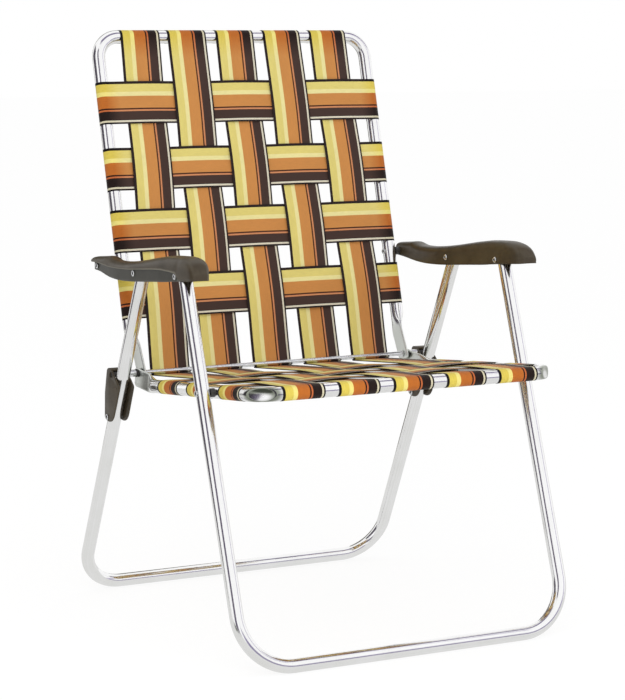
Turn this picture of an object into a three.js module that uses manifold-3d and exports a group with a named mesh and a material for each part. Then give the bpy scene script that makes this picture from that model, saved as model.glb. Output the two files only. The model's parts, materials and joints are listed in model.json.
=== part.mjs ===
// A folding lawn chair: two bent tube leg frames, a seat frame and a back frame of the same tube,
// moulded armrests, a hinge rod with two links, and a seat and back woven from striped webbing.
// Millimetres, +Z up, the sitter faces -Y. The origin is on the floor under the middle of the chair.
// "Right" is the +X side.
import * as THREE from "three";
import { mergeVertices } from "three/addons/utils/BufferGeometryUtils.js";
import Module from "manifold-3d";

// Stock
const tubeRadius = 11.1;
const tubeWall = 1.4;
const tubeSides = 12;
const stripWidth = 73;
const stripThickness = 1.1;
const seatingGap = 0.3;

// Places across the chair, from its middle plane to a tube's centre line
const legX = 294.7;
const railX = 263.6;
const uprightX = 258.8;

// Places in the side view
const frontFootY = -316;
const rearFootY = 308.7;
const armFrontY = -107.5;
const armFrontZ = 593;
const armMiddleY = 47.6;
const armMiddleZ = 582.3;
const rodY = 146.9;
const rodZ = 403.1;
const seatBarY = -301;
const seatBarZ = 431.5;
const railKneeY = 78;
const railKneeZ = 391;
const topBarY = 314.5;
const topBarZ = 954.8;
const backKneeRise = 54;

// Tube bends, on the centre line
const frontLegBend = 85;
const rearLegBend = 72;
const seatBend = 34;
const seatBendCrush = 8;
const backBend = 38;
const kneeBend = 60;
const bendSteps = 6;
const kneeSteps = 2;
const leastStation = 0.5;
const legEndReach = 9;

// Pressed tube ends
const bladeHalfWidth = 16;
const bladeHalfThickness = 2;
const bladeReach = 11;
const bladeTipRound = 6;
const pressedLength = 50;
const pressLength = 40;
const seatBladeX = 259.5;
const seatBladeDrop = 8.5;
const backBladeX = 253;
const bladeTipShare = 0.72;
const bladeEndShares = [0, 0.2, 0.55, 1];
const pressShares = [0, 0.35, 0.7, 1];

// Fasteners
const rivetRadius = 3;
const rivetHeadRadius = 5;
const rivetHeadHeight = 2;
const rivetSides = 8;
const boreGap = 0.35;
const spacerRadius = 7;
const rodRadius = 4;
const rodCollarRadius = 5.8;
const rodCollarLength = 2.5;
const hingeSpacerRadius = 6;
const hingeWasherRadius = 7;
const hingeWasherLength = 2.5;
const ringSides = 12;

// Links
const linkPlate = 2.5;
const linkGap = 0.5;
const linkFoot = 6.2;
const linkFootBack = 10;
const linkFootFront = 21.5;
const linkNose = 35;
const linkNoseDrop = 10;
const linkBack = 18.5;
const linkHead = 9.9;
const linkHeadSlope = 4;
const linkFootRadius = 8;
const linkFootFrontRadius = 26;
const linkNoseRadius = 6;
const linkHeadRadius = 9;
const linkBackRadius = 45;
const linkWebWall = 2.5;
const linkWebEnd = 1;
const linkWebDrop = 4;
const linkPinRadius = 4.55;
const linkPinSet = 1.2;
const linkPipRadius = 2;
const linkPipHeight = 0.8;
const linkPipSet = 11;
const linkCornerSteps = 3;
const foldedLegGap = 2;

// Armrests
const armRearReach = 11.7;
const armFrontReach = 69.5;
const armCrown = 32;
const armSkirt = 18;
const armHalfWidth = 21;
const armWall = 3;
const armPivotHalfWidth = 18;
const armRearInnerHalfWidth = 16.5;
const armRearOuterHalfWidth = 10.5;

// Webbing
const stripPitchTop = 92;
const stripPitchRod = 96.5;
const stripPitchFront = 96.5;
const stripShiftTop = -3;
const stripShiftRod = -5;
const firstStripInset = 4;
const longStrips = 5;
const backCrossShares = [0.796, 0.597, 0.412, 0.2165];
const seatCrossShares = [0.1873, 0.4407, 0.6807];
const waveHeight = 2.2;
const waveSteps = 4;
const wrapTurn = THREE.MathUtils.degToRad(200);
const wrapSteps = 8;
const rodWrapTurn = THREE.MathUtils.degToRad(38);
const rodWrapSteps = 3;

const cutOverrun = 4;
const weldDistance = 1e-4;

const wasm = await Module();
wasm.setup();

const metal = { color: 0xc9ccce, roughness: 0.25, metalness: 1 };
const brightMetal = { color: 0xd9dbdd, roughness: 0.2, metalness: 1 };
const darkWasher = { color: 0x2a2826, roughness: 0.6, metalness: 0.2 };
const blackSpacer = { color: 0x151516, roughness: 0.5, metalness: 0 };
const armPlastic = { color: 0x4c473b, roughness: 0.5, metalness: 0 };
const webbing = { color: 0xc68246, roughness: 0.85, metalness: 0 };

const chair = new THREE.Group();

function place(name, geometry, finish) {
  const mesh = new THREE.Mesh(geometry, new THREE.MeshStandardMaterial(finish));
  mesh.name = name;
  chair.add(mesh);
  return mesh;
}

// The right-hand piece as it is, and its mirror image on the left.
function placePair(name, geometry, finish) {
  place(name + "_right", geometry, finish);
  place(name + "_left", geometry, finish).scale.x = -1;
}

function solidOf(geometry) {
  const bare = geometry.clone();
  bare.deleteAttribute("normal");
  bare.deleteAttribute("uv");
  const merged = mergeVertices(bare, weldDistance);
  const vertProperties = merged.attributes.position.array;
  const triVerts = new Uint32Array(merged.index.array);
  return new wasm.Manifold(new wasm.Mesh({ numProp: 3, vertProperties, triVerts }));
}

function geometryOf(solid) {
  const mesh = solid.getMesh();
  const geometry = new THREE.BufferGeometry();
  geometry.setAttribute("position", new THREE.BufferAttribute(mesh.vertProperties, 3));
  geometry.setIndex(new THREE.BufferAttribute(mesh.triVerts, 1));
  return geometry;
}

function cut(geometry, tools) {
  const left = tools.reduce((solid, tool) => solid.subtract(solidOf(tool)), solidOf(geometry));
  return geometryOf(left);
}

function join(geometries) {
  return geometryOf(geometries.map(solidOf).reduce((whole, piece) => whole.add(piece)));
}

function common(geometry, other) {
  return geometryOf(solidOf(geometry).intersect(solidOf(other)));
}

const point = (y, z) => new THREE.Vector2(y, z);
const inSpace = (x, side) => new THREE.Vector3(x, side.x, side.y);
const between = (from, to, share) => from + (to - from) * share;

// Where the line through a and b crosses the line through c and d.
function crossing(a, b, c, d) {
  const ab = b.clone().sub(a);
  const cd = d.clone().sub(c);
  const along = c.clone().sub(a).cross(cd) / ab.cross(cd);
  return a.clone().addScaledVector(ab, along);
}

// Side view: the pivots and the lines of the tubes
const footZ = tubeRadius * Math.cos(Math.PI / tubeSides);
const frontFoot = point(frontFootY, footZ);
const rearFoot = point(rearFootY, footZ);
const armFront = point(armFrontY, armFrontZ);
const armMiddle = point(armMiddleY, armMiddleZ);
const rod = point(rodY, rodZ);
const seatBar = point(seatBarY, seatBarZ);
const railKnee = point(railKneeY, railKneeZ);
const topBar = point(topBarY, topBarZ);
const seatPivot = crossing(armFront, frontFoot, seatBar, railKnee);
// Arm, back, seat and front leg make a parallel linkage.
const armBack = rod.clone().add(armFront).sub(seatPivot);
const frontLegDown = frontFoot.clone().sub(armFront).normalize();
const rearLegDown = rearFoot.clone().sub(armMiddle).normalize();
const backUp = topBar.clone().sub(armBack).normalize();
const backFront = point(-backUp.y, backUp.x);
const backFoot = armBack.clone().addScaledVector(backUp, (rodZ - armBack.y) / backUp.y);
const backKnee = backFoot.clone().addScaledVector(backUp, backKneeRise);
const seatAlong = railKnee.clone().sub(seatBar).normalize();
const seatUp = point(-seatAlong.y, seatAlong.x);

const turned = (vector, angle) => vector.clone().rotateAround(point(0, 0), angle);

// Folded, the front legs lie along the rear legs, and the arms tip up between them.
const armSpan = armFront.clone().sub(armMiddle);
const foldedOffset = 2 * tubeRadius + foldedLegGap;
const rearLegFront = point(rearLegDown.y, -rearLegDown.x);
const foldedArm = rearLegFront.clone().multiplyScalar(foldedOffset);
foldedArm.addScaledVector(rearLegDown, -Math.sqrt(armSpan.lengthSq() - foldedOffset ** 2));
const armTurn = foldedArm.angle() - armSpan.angle();
const legTurn = rearLegDown.angle() - frontLegDown.angle();
const foldedBackPivot = armMiddle.clone().add(turned(armBack.clone().sub(armMiddle), armTurn));
const foldedRod = foldedBackPivot.clone().add(turned(rod.clone().sub(armBack), legTurn));
// The link's lower pivot is on the rear leg, as far from the rod when folded as when open.
const rodFromMiddle = rod.clone().sub(armMiddle);
const foldedRodFromMiddle = foldedRod.clone().sub(armMiddle);
const lengthGain = rodFromMiddle.lengthSq() - foldedRodFromMiddle.lengthSq();
const alongGain = rodFromMiddle.clone().sub(foldedRodFromMiddle).dot(rearLegDown);
const linkPivot = armMiddle.clone().addScaledVector(rearLegDown, lengthGain / (2 * alongGain));
const linkLength = linkPivot.distanceTo(rod);
const linkUp = rod.clone().sub(linkPivot).normalize();
const linkFront = point(-linkUp.y, linkUp.x);

// A tube's centre line: straight runs between rounded corners. It has stations only where the tube
// turns or changes its section. At a station, "flat" and "across" are half the tube's width along and
// square to the frame's front.
class TubeLine extends THREE.Curve {
  constructor(stations, front) {
    super();
    this.stations = stations;
    this.front = inSpace(0, front);
  }

  get steps() {
    return this.stations.length - 1;
  }

  getPoint(share, target = new THREE.Vector3()) {
    return target.copy(this.stations[Math.round(share * this.steps)].place);
  }

  getPointAt(share, target) {
    return this.getPoint(share, target);
  }

  computeFrenetFrames() {
    const tangents = this.stations.map(({ along }) => along);
    const flats = tangents.map((along) => {
      return this.front.clone().addScaledVector(along, -this.front.dot(along)).normalize();
    });
    const acrosses = tangents.map((along, i) => along.clone().cross(flats[i]));
    const normals = flats.map((flat, i) => flat.multiplyScalar(this.stations[i].flat));
    const binormals = acrosses.map((across, i) => across.multiplyScalar(this.stations[i].across));
    return { tangents, normals, binormals };
  }
}

// Stations of a line through the corners, with an arc of the given radius and steps at each inner one.
function stationsThrough(corners, bends) {
  const stations = [];
  corners.forEach((corner, i) => {
    const to = i + 1 < corners.length ? corners[i + 1].clone().sub(corner).normalize() : undefined;
    const from = i > 0 ? corner.clone().sub(corners[i - 1]).normalize() : undefined;
    if (from && to) stations.push(...arcStations(corner, from, to, bends[i - 1]));
    else stations.push({ place: corner, along: from ?? to });
  });
  return stations;
}

function arcStations(corner, from, to, { radius, steps }) {
  const turn = from.angleTo(to);
  const start = corner.clone().addScaledVector(from, -radius * Math.tan(turn / 2));
  const inward = to.clone().addScaledVector(from, -to.dot(from)).normalize();
  return [...Array(steps + 1).keys()].map((i) => {
    const angle = (turn * i) / steps;
    const place = start.clone().addScaledVector(from, radius * Math.sin(angle));
    place.addScaledVector(inward, radius * (1 - Math.cos(angle)));
    const along = from.clone().multiplyScalar(Math.cos(angle)).addScaledVector(inward, Math.sin(angle));
    return { place, along };
  });
}

// The same line with stations at the given distances from either end as well, and each station's
// distance from the nearer end.
function withEndStations(stations, wanted) {
  const reached = [0];
  stations.slice(1).forEach(({ place }, i) => reached.push(reached[i] + place.distanceTo(stations[i].place)));
  const length = reached[reached.length - 1];
  const distances = [...reached, ...wanted, ...wanted.map((distance) => length - distance)];
  distances.sort((a, b) => a - b);
  const apart = distances.filter((distance, i) => i === 0 || distance - distances[i - 1] > leastStation);
  return apart.map((distance) => {
    const next = Math.max(reached.findIndex((end) => end >= distance), 1);
    const share = (distance - reached[next - 1]) / (reached[next] - reached[next - 1]);
    const place = stations[next - 1].place.clone().lerp(stations[next].place, share);
    const along = stations[next - 1].along.clone().lerp(stations[next].along, share).normalize();
    return { place, along, fromEnd: Math.min(distance, length - distance) };
  });
}

function polygon(turn) {
  const corners = [];
  for (let i = 0; i < tubeSides; i++) {
    const angle = turn + ((i + 0.5) * 2 * Math.PI) / tubeSides;
    corners.push(new THREE.Vector2(Math.cos(angle), Math.sin(angle)));
  }
  return corners;
}

function barAlong(line, turn = 0) {
  const section = new THREE.Shape(polygon(turn));
  return new THREE.ExtrudeGeometry(section, { steps: line.steps, extrudePath: line });
}

// A round bar across the chair, from one X to another.
function barAcross(radius, fromX, toX, centre, sides = ringSides) {
  const bar = new THREE.CylinderGeometry(radius, radius, toX - fromX, sides);
  bar.rotateZ(-Math.PI / 2);
  return bar.translate((fromX + toX) / 2, centre.x, centre.y);
}

// A turned piece across the chair: its profile is [X, radius] pairs.
function turnedAcross(profile, centre, sides) {
  const points = profile.map(([x, radius]) => new THREE.Vector2(radius, x));
  const piece = new THREE.LatheGeometry(points, sides);
  piece.rotateZ(-Math.PI / 2);
  return piece.translate(0, centre.x, centre.y);
}

function ringAcross(innerRadius, outerRadius, fromX, toX, centre) {
  const profile = [[fromX, innerRadius], [fromX, outerRadius], [toX, outerRadius], [toX, innerRadius]];
  return turnedAcross([...profile, profile[0]], centre, ringSides);
}

// A rivet whose heads sit on faces at fromX and toX.
function rivet(fromX, toX, centre) {
  const low = fromX - seatingGap;
  const high = toX + seatingGap;
  const crown = rivetHeadRadius / 2;
  const profile = [[low - rivetHeadHeight, 0], [low - rivetHeadHeight, crown], [low, rivetHeadRadius],
    [low, rivetRadius], [high, rivetRadius], [high, rivetHeadRadius], [high + rivetHeadHeight, crown],
    [high + rivetHeadHeight, 0]];
  return turnedAcross(profile, centre, rivetSides);
}

function rivetBore(centre, fromX, toX) {
  const radius = (rivetRadius + boreGap) / Math.cos(Math.PI / rivetSides);
  return barAcross(radius, fromX - cutOverrun, toX + cutOverrun, centre, rivetSides);
}

function pairOfBores(centre, fromX, toX) {
  return [rivetBore(centre, fromX, toX), rivetBore(centre, -toX, -fromX)];
}

// Leg frames, open at their upper ends
const legBore = (centre) => pairOfBores(centre, legX - tubeRadius, legX + tubeRadius);

function legFrame(pivot, down, foot, radius) {
  const top = pivot.clone().addScaledVector(down, -legEndReach);
  const corners = [inSpace(-legX, top), inSpace(-legX, foot), inSpace(legX, foot), inSpace(legX, top)];
  const bend = { radius, steps: bendSteps };
  const stations = stationsThrough(corners, [bend, bend]);
  const front = point(down.y, -down.x);
  // One side of the tube's section faces the floor under the floor bar.
  const turn = Math.atan2(-down.y, down.x);
  const outside = stations.map((station) => ({ ...station, flat: tubeRadius, across: tubeRadius }));
  const boreRadius = tubeRadius - tubeWall;
  const inside = stations.map((station) => ({ ...station, flat: boreRadius, across: boreRadius }));
  const ends = [inside[0], inside[inside.length - 1]];
  ends.forEach((end) => {
    end.place = end.place.clone().addScaledVector(inSpace(0, down), -cutOverrun);
  });
  return cut(barAlong(new TubeLine(outside, front), turn), [barAlong(new TubeLine(inside, front), turn)]);
}

const rearLegs = legFrame(armMiddle, rearLegDown, rearFoot, rearLegBend);
place("rear_leg_frame", cut(rearLegs, [...legBore(armMiddle), ...legBore(linkPivot)]), metal);
const frontLegs = legFrame(armFront, frontLegDown, frontFoot, frontLegBend);
place("front_leg_frame", cut(frontLegs, [...legBore(armFront), ...legBore(seatPivot)]), metal);

// Seat and back frames. Each tube is hollow up to its two ends, which are pressed flat and turn on
// the hinge rod.
const pressEnd = pressedLength + pressLength;
const pressedStations = [...bladeEndShares.map((share) => share * bladeTipRound),
  ...pressShares.map((share) => pressedLength + share * pressLength)];

function pressed(station, bladeX) {
  const press = 1 - THREE.MathUtils.smoothstep(station.fromEnd, pressedLength, pressEnd);
  const inset = 1 - Math.min(station.fromEnd / bladeTipRound, 1);
  const round = between(bladeTipShare, 1, Math.sqrt(1 - inset ** 2));
  const place = station.place.clone();
  place.x += Math.sign(place.x) * (bladeX - Math.abs(place.x)) * press;
  const flat = between(tubeRadius, bladeHalfWidth * round, press);
  const across = between(tubeRadius, bladeHalfThickness, press);
  return { ...station, place, flat, across };
}

// A bend whose outer wall is crushed flat to the given depth: the tube is thinner there, and its centre
// line is nearer the inside of the bend.
function crushed(station, radius, front, depth) {
  const outer = radius + tubeRadius;
  const sideways = Math.abs(station.along.x);
  const diagonal = (sideways + Math.sqrt(1 - sideways ** 2)) / Math.SQRT2;
  const over = Math.max(outer - (outer - depth) / diagonal, 0);
  const inward = inSpace(0, front).cross(station.along);
  inward.multiplyScalar((-Math.sign(inward.x * station.place.x) * over) / 2);
  return { ...station, place: station.place.clone().add(inward), across: station.across - over / 2 };
}

function pressedFrame({ knee, corner, x, bladeX, drop, radius, crush, front }) {
  const end = rod.clone().addScaledVector(front, -drop);
  const tip = end.clone().addScaledVector(knee.clone().sub(end).normalize(), -bladeReach);
  const side = [tip, knee, corner];
  const corners = [...side.map((p) => inSpace(-x, p)), ...side.reverse().map((p) => inSpace(x, p))];
  const kneeTurn = { radius: kneeBend, steps: kneeSteps };
  const bend = { radius, steps: bendSteps };
  const turns = stationsThrough(corners, [kneeTurn, bend, bend, kneeTurn]);
  const outside = withEndStations(turns, pressedStations).map((station) => {
    return crushed(pressed(station, bladeX), radius, front, crush);
  });
  const inside = outside.filter(({ across }) => across > 2 * tubeWall).map((station) => {
    return { ...station, flat: station.flat - tubeWall, across: station.across - tubeWall };
  });
  return cut(barAlong(new TubeLine(outside, front)), [barAlong(new TubeLine(inside, front)), rodBore]);
}

const rodBoreRadius = (rodRadius + boreGap) / Math.cos(Math.PI / ringSides);
const rodBore = barAcross(rodBoreRadius, -legX, legX, rod);
const seatFrame = pressedFrame({
  knee: railKnee,
  corner: seatBar,
  x: railX,
  bladeX: seatBladeX,
  drop: seatBladeDrop,
  radius: seatBend,
  crush: seatBendCrush,
  front: seatUp,
});
const railBores = pairOfBores(seatPivot, railX - tubeRadius, railX + tubeRadius);
place("seat_frame", cut(seatFrame, railBores), metal);

const backFrame = pressedFrame({
  knee: backKnee,
  corner: topBar,
  x: uprightX,
  bladeX: backBladeX,
  drop: 0,
  radius: backBend,
  crush: 0,
  front: backFront,
});
const uprightBores = pairOfBores(armBack, uprightX - tubeRadius, uprightX + tubeRadius);
place("back_frame", cut(backFrame, uprightBores), metal);

// Hinge rod, its washers and spacers
const linkInnerX = legX - tubeRadius - linkGap - linkPlate;
const linkOuterX = legX + tubeRadius + linkGap + linkPlate;
const rodEndX = linkInnerX - seatingGap;
const collarX = backBladeX - bladeHalfThickness - seatingGap;
const halfRod = [[collarX - rodCollarLength, rodRadius], [collarX - rodCollarLength, rodCollarRadius],
  [collarX, rodCollarRadius], [collarX, rodRadius], [rodEndX, rodRadius], [rodEndX, 0]];
const otherHalf = halfRod.map(([x, radius]) => [-x, radius]).reverse();
place("hinge_rod", turnedAcross([...otherHalf, ...halfRod], rod, ringSides), brightMetal);

const washerFromX = seatBladeX + bladeHalfThickness + seatingGap;
const spacerFromX = washerFromX + hingeWasherLength + seatingGap;
const rodClear = rodRadius + boreGap;
const hingeRing = (radius, fromX, toX) => ringAcross(rodClear, radius, fromX, toX, rod);
const betweenFromX = backBladeX + bladeHalfThickness + seatingGap;
const betweenToX = seatBladeX - bladeHalfThickness - seatingGap;
placePair("hinge_inner_washer", hingeRing(hingeWasherRadius, betweenFromX, betweenToX), darkWasher);
placePair("hinge_outer_washer", hingeRing(hingeWasherRadius, washerFromX, spacerFromX - seatingGap), darkWasher);
placePair("hinge_spacer", hingeRing(hingeSpacerRadius, spacerFromX, rodEndX), brightMetal);

// Links between the rear legs and the hinge rod, drawn upwards from the lower pivot: two plates that
// straddle the leg, joined by a web at the top. A corner is [upwards, forwards, rounding].
const linkCorners = [
  [-linkFoot, -linkFootBack, linkFootRadius],
  [-linkFoot, linkFootFront, linkFootFrontRadius],
  [linkLength - linkNoseDrop, linkNose, linkNoseRadius],
  [linkLength + linkHead, -linkHeadSlope, linkHeadRadius],
  [linkLength + linkHead - linkHeadSlope, -linkBack, linkHeadRadius],
  [linkLength / 2, -linkBack, linkBackRadius],
];

function roundedShape(corners) {
  const outline = new THREE.Shape();
  corners.forEach(([x, y, radius], i) => {
    const corner = new THREE.Vector2(x, y);
    const [before, after] = [corners.at(i - 1), corners[(i + 1) % corners.length]].map(([nextX, nextY]) => {
      return new THREE.Vector2(nextX, nextY).sub(corner).normalize();
    });
    const setback = radius / Math.tan(before.angleTo(after) / 2);
    const start = corner.clone().addScaledVector(before, setback);
    const end = corner.clone().addScaledVector(after, setback);
    if (i === 0) outline.moveTo(start.x, start.y);
    else outline.lineTo(start.x, start.y);
    outline.quadraticCurveTo(x, y, end.x, end.y);
  });
  return outline;
}

const linkFrame = new THREE.Matrix4().makeBasis(inSpace(0, linkUp), inSpace(0, linkFront), inSpace(1, point(0, 0)));
linkFrame.setPosition(inSpace(0, linkPivot));
const linkShape = roundedShape(linkCorners);

function linkSheet(shape, fromX, toX) {
  const settings = { depth: toX - fromX, bevelEnabled: false, curveSegments: linkCornerSteps };
  return new THREE.ExtrudeGeometry(shape, settings).translate(0, 0, fromX).applyMatrix4(linkFrame);
}

function rectangle(fromX, toX, fromY, toY) {
  const corners = [[fromX, fromY], [toX, fromY], [toX, toY], [fromX, toY]];
  return new THREE.Shape(corners.map(([x, y]) => new THREE.Vector2(x, y)));
}

const linkTop = linkLength + linkHead;
const webFrom = linkLength + linkPinRadius + linkWebEnd;
const webFill = join([
  linkSheet(rectangle(webFrom, linkTop + cutOverrun, -linkBack - cutOverrun, -linkWebEnd), linkInnerX, linkOuterX),
  linkSheet(rectangle(linkLength - linkWebDrop, linkTop, -linkBack - cutOverrun, linkWebWall - linkBack),
    linkInnerX, linkOuterX),
]);
const linkWeb = common(linkSheet(linkShape, linkInnerX + linkPlate / 2, linkOuterX - linkPlate / 2), webFill);
const linkPip = linkPivot.clone().addScaledVector(linkUp, linkLength - linkNoseDrop - linkPipSet / 2);
linkPip.addScaledVector(linkFront, linkNose - linkPipSet);
const linkSolid = join([
  linkSheet(linkShape, linkInnerX, linkInnerX + linkPlate),
  linkSheet(linkShape, linkOuterX - linkPlate, linkOuterX),
  linkWeb,
  barAcross(linkPipRadius, linkOuterX - linkPlate / 2, linkOuterX + linkPipHeight, linkPip, rivetSides),
]);
const pinBoreRadius = (linkPinRadius + boreGap) / Math.cos(Math.PI / ringSides);
const pinBore = barAcross(pinBoreRadius, linkInnerX - cutOverrun, linkOuterX + cutOverrun, rod);
placePair("link", cut(linkSolid, [rivetBore(linkPivot, linkInnerX, linkOuterX), pinBore]), armPlastic);
placePair("link_pin", barAcross(linkPinRadius, linkInnerX, linkOuterX - linkPinSet, rod), darkWasher);
placePair("link_rivet", rivet(linkInnerX, linkOuterX, linkPivot), brightMetal);

// Seat pivots
placePair("seat_pivot_rivet", rivet(railX - tubeRadius, legX + tubeRadius, seatPivot), brightMetal);
const railOuterX = railX + tubeRadius + seatingGap;
const legInnerX = legX - tubeRadius - seatingGap;
const seatSpacer = ringAcross(rivetRadius + boreGap, spacerRadius, railOuterX, legInnerX, seatPivot);
placePair("seat_pivot_spacer", seatSpacer, blackSpacer);

// Armrests: a moulded channel, open underneath, lofted from sections along its length.
// Each row holds the station's share of the length, then the crown and the skirt's lower edge as
// shares of their heights, the step's height as a share of the crown, and the half widths inwards,
// outwards at the top and outwards at the skirt as shares of the half width.
const armSectionShares = [
  [0, 0.46, -0.38, 0.19, 0.76, 0.8, 0.5],
  [0.05, 0.5, -0.48, 0.19, 0.786, 0.83, 0.5],
  [0.09, 0.53, -0.59, 0.16, 0.786, 0.83, 0.57],
  [0.12, 0.56, -0.68, 0.12, 0.79, 0.84, 0.63],
  [0.138, 0.54, -0.74, 0.1, 0.8, 0.85, 0.67],
  [0.185, 0.4, -0.87, 0.05, 0.815, 0.87, 0.75],
  [0.24, 0.375, -0.96, 0.035, 0.83, 0.9, 0.8],
  [0.29, 0.38, -1, 0.03, 0.845, 0.92, 0.83],
  [0.39, 0.46, -0.98, 0.05, 0.857, 0.97, 0.857],
  [0.505, 0.61, -0.86, 0.13, 0.857, 1, 0.857],
  [0.62, 0.8, -0.72, 0.21, 0.857, 1, 0.857],
  [0.7, 0.91, -0.63, 0.24, 0.857, 1, 0.857],
  [0.75, 0.97, -0.56, 0.22, 0.857, 1, 0.857],
  [0.785, 0.99, -0.49, 0.205, 0.857, 1, 0.857],
  [0.815, 1, -0.445, 0.178, 0.857, 1, 0.857],
  [0.839, 1.007, -0.405, 0.152, 0.857, 1, 0.857],
  [0.853, 1.01, -0.385, 0.02, 0.857, 1, 0.88],
  [0.872, 1.01, -0.36, -0.2, 0.857, 1.01, 1],
  [0.9, 1, -0.32, -0.2, 0.86, 1.02, 1.02],
  [0.945, 0.9, -0.27, -0.2, 0.76, 1.02, 1.02],
  [0.978, 0.66, -0.24, -0.2, 0.55, 1, 1],
  [1, 0.25, -0.2, -0.2, 0.2, 0.9, 0.9],
];
const crownDropShare = 0.05;
const shoulderDropShare = 0.24;
const crownWidthShare = 0.6;
const lipShare = 0.05;

const armLine = armFront.clone().sub(armBack).normalize();
const armUp = point(armLine.y, -armLine.x);
const armLength = armBack.distanceTo(armFront) + armRearReach + armFrontReach;

function armSection([along, crown, skirt, step, inner, outer, panel]) {
  const top = crown * armCrown;
  const low = skirt * armSkirt;
  const ledge = Math.max(step * armCrown, low + lipShare * armCrown);
  const depth = top - low;
  const shoulder = top - shoulderDropShare * depth;
  const crownEdge = top - crownDropShare * armCrown * crown;
  const width = (share) => share * armHalfWidth;
  return {
    along: along * armLength - armRearReach,
    top,
    low,
    inner: width(inner),
    panel: width(panel),
    ring: [
      [-width(inner), low],
      [width(panel), low],
      [width(panel), ledge],
      [width(outer), ledge + lipShare * armCrown],
      [width(outer), shoulder],
      [width(outer) * crownWidthShare, crownEdge],
      [0, top],
      [-width(inner) * crownWidthShare, crownEdge],
      [-width(inner), shoulder],
    ],
  };
}

function armPoint(along, [x, up]) {
  const side = armBack.clone().addScaledVector(armLine, along).addScaledVector(armUp, up);
  return inSpace(legX + x, side);
}

// A closed solid over rings of equal point counts, each ring running anticlockwise seen from its end.
function loft(rings) {
  const count = rings[0].length;
  const positions = rings.flat().flatMap((p) => [p.x, p.y, p.z]);
  const faces = [];
  for (let i = 0; i + 1 < rings.length; i++) {
    for (let j = 0; j < count; j++) {
      const next = (j + 1) % count;
      const a = i * count + j;
      const b = i * count + next;
      faces.push(a, b, b + count, a, b + count, a + count);
    }
  }
  const capOf = (ring) => {
    const flat = ring.map((p) => new THREE.Vector2(p.x, p.z));
    return THREE.ShapeUtils.triangulateShape(flat, []);
  };
  const lastStart = (rings.length - 1) * count;
  capOf(rings[0]).forEach(([a, b, c]) => faces.push(c, b, a));
  capOf(rings[rings.length - 1]).forEach(([a, b, c]) => faces.push(lastStart + a, lastStart + b, lastStart + c));
  const geometry = new THREE.BufferGeometry();
  geometry.setAttribute("position", new THREE.Float32BufferAttribute(positions, 3));
  geometry.setIndex(faces);
  return geometry;
}

function armChannelSection(section) {
  const halfInner = section.inner - armWall;
  const halfOuter = section.panel - armWall;
  const roof = section.top - armWall - crownDropShare * armCrown;
  const haunch = section.top - shoulderDropShare * armCrown - armWall;
  const mouth = section.low - cutOverrun;
  return [[-halfInner, mouth], [halfOuter, mouth], [halfOuter, haunch], [halfOuter / 2, roof],
    [-halfInner / 2, roof], [-halfInner, haunch]];
}

const armSections = armSectionShares.map(armSection);
const armShell = loft(armSections.map(({ along, ring }) => ring.map((p) => armPoint(along, p))));
const hollowSections = armSections.slice(0, -2);
const armHollow = loft(hollowSections.map((section, i) => {
  const along = section.along + (i === 0 ? armWall : 0);
  return armChannelSection(section).map((p) => armPoint(along, p));
}));
const armBores = [armFront, armMiddle, armBack].map((pivot) => {
  return rivetBore(pivot, legX - armHalfWidth, legX + armHalfWidth);
});
placePair("armrest", cut(armShell, [armHollow, ...armBores]), armPlastic);

const armRivet = (pivot) => rivet(legX - armPivotHalfWidth, legX + armPivotHalfWidth, pivot);
placePair("arm_front_rivet", armRivet(armFront), brightMetal);
placePair("arm_middle_rivet", armRivet(armMiddle), brightMetal);
const armRearOuterX = legX + armRearOuterHalfWidth;
placePair("arm_rear_rivet", rivet(uprightX - tubeRadius, armRearOuterX, armBack), brightMetal);
const uprightOuterX = uprightX + tubeRadius + seatingGap;
const armRearInnerX = legX - armRearInnerHalfWidth - seatingGap;
const armSpacer = ringAcross(rivetRadius + boreGap, spacerRadius, uprightOuterX, armRearInnerX, armBack);
placePair("arm_rear_spacer", armSpacer, blackSpacer);

// Webbing. A strip's path lies in a plane of "along" and "up", and its stations follow the weave.
const stripLift = tubeRadius + seatingGap + stripThickness / 2;
const rodLift = rodRadius + seatingGap + stripThickness / 2;

// Smooth stretch from one [along, up] to the next, without the first point.
function ease([fromAlong, fromUp], [toAlong, toUp]) {
  const points = [];
  for (let i = 1; i <= waveSteps; i++) {
    const share = i / waveSteps;
    const rise = (1 - Math.cos(Math.PI * share)) / 2;
    points.push([between(fromAlong, toAlong, share), between(fromUp, toUp, rise)]);
  }
  return points;
}

// Part of a circle about a centre, from one angle to another; angle 0 points up, and a positive
// angle leans towards +along.
function wrap([along, up], radius, fromAngle, toAngle, steps) {
  const points = [];
  for (let i = 0; i <= steps; i++) {
    const angle = between(fromAngle, toAngle, i / steps);
    points.push([along + radius * Math.sin(angle), up + radius * Math.cos(angle)]);
  }
  return points;
}

function chain(points, targets) {
  targets.forEach((target) => points.push(...ease(points[points.length - 1], target)));
  return points;
}

// The strip's edge-on outline: its path thickened to both sides.
function stripShape(path) {
  const flat = path.map(([along, up]) => new THREE.Vector2(along, up));
  const sides = flat.map((p, i) => {
    const before = flat[Math.max(i - 1, 0)];
    const after = flat[Math.min(i + 1, flat.length - 1)];
    const along = after.clone().sub(before).normalize();
    return new THREE.Vector2(-along.y, along.x).multiplyScalar(stripThickness / 2);
  });
  const upper = flat.map((p, i) => p.clone().add(sides[i]));
  const lower = flat.map((p, i) => p.clone().sub(sides[i]));
  return new THREE.Shape([...lower, ...upper.reverse()]);
}

function stripSheet(path) {
  const sheet = new THREE.ExtrudeGeometry(stripShape(path), { depth: stripWidth, bevelEnabled: false });
  return sheet.translate(0, 0, -stripWidth / 2);
}

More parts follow.
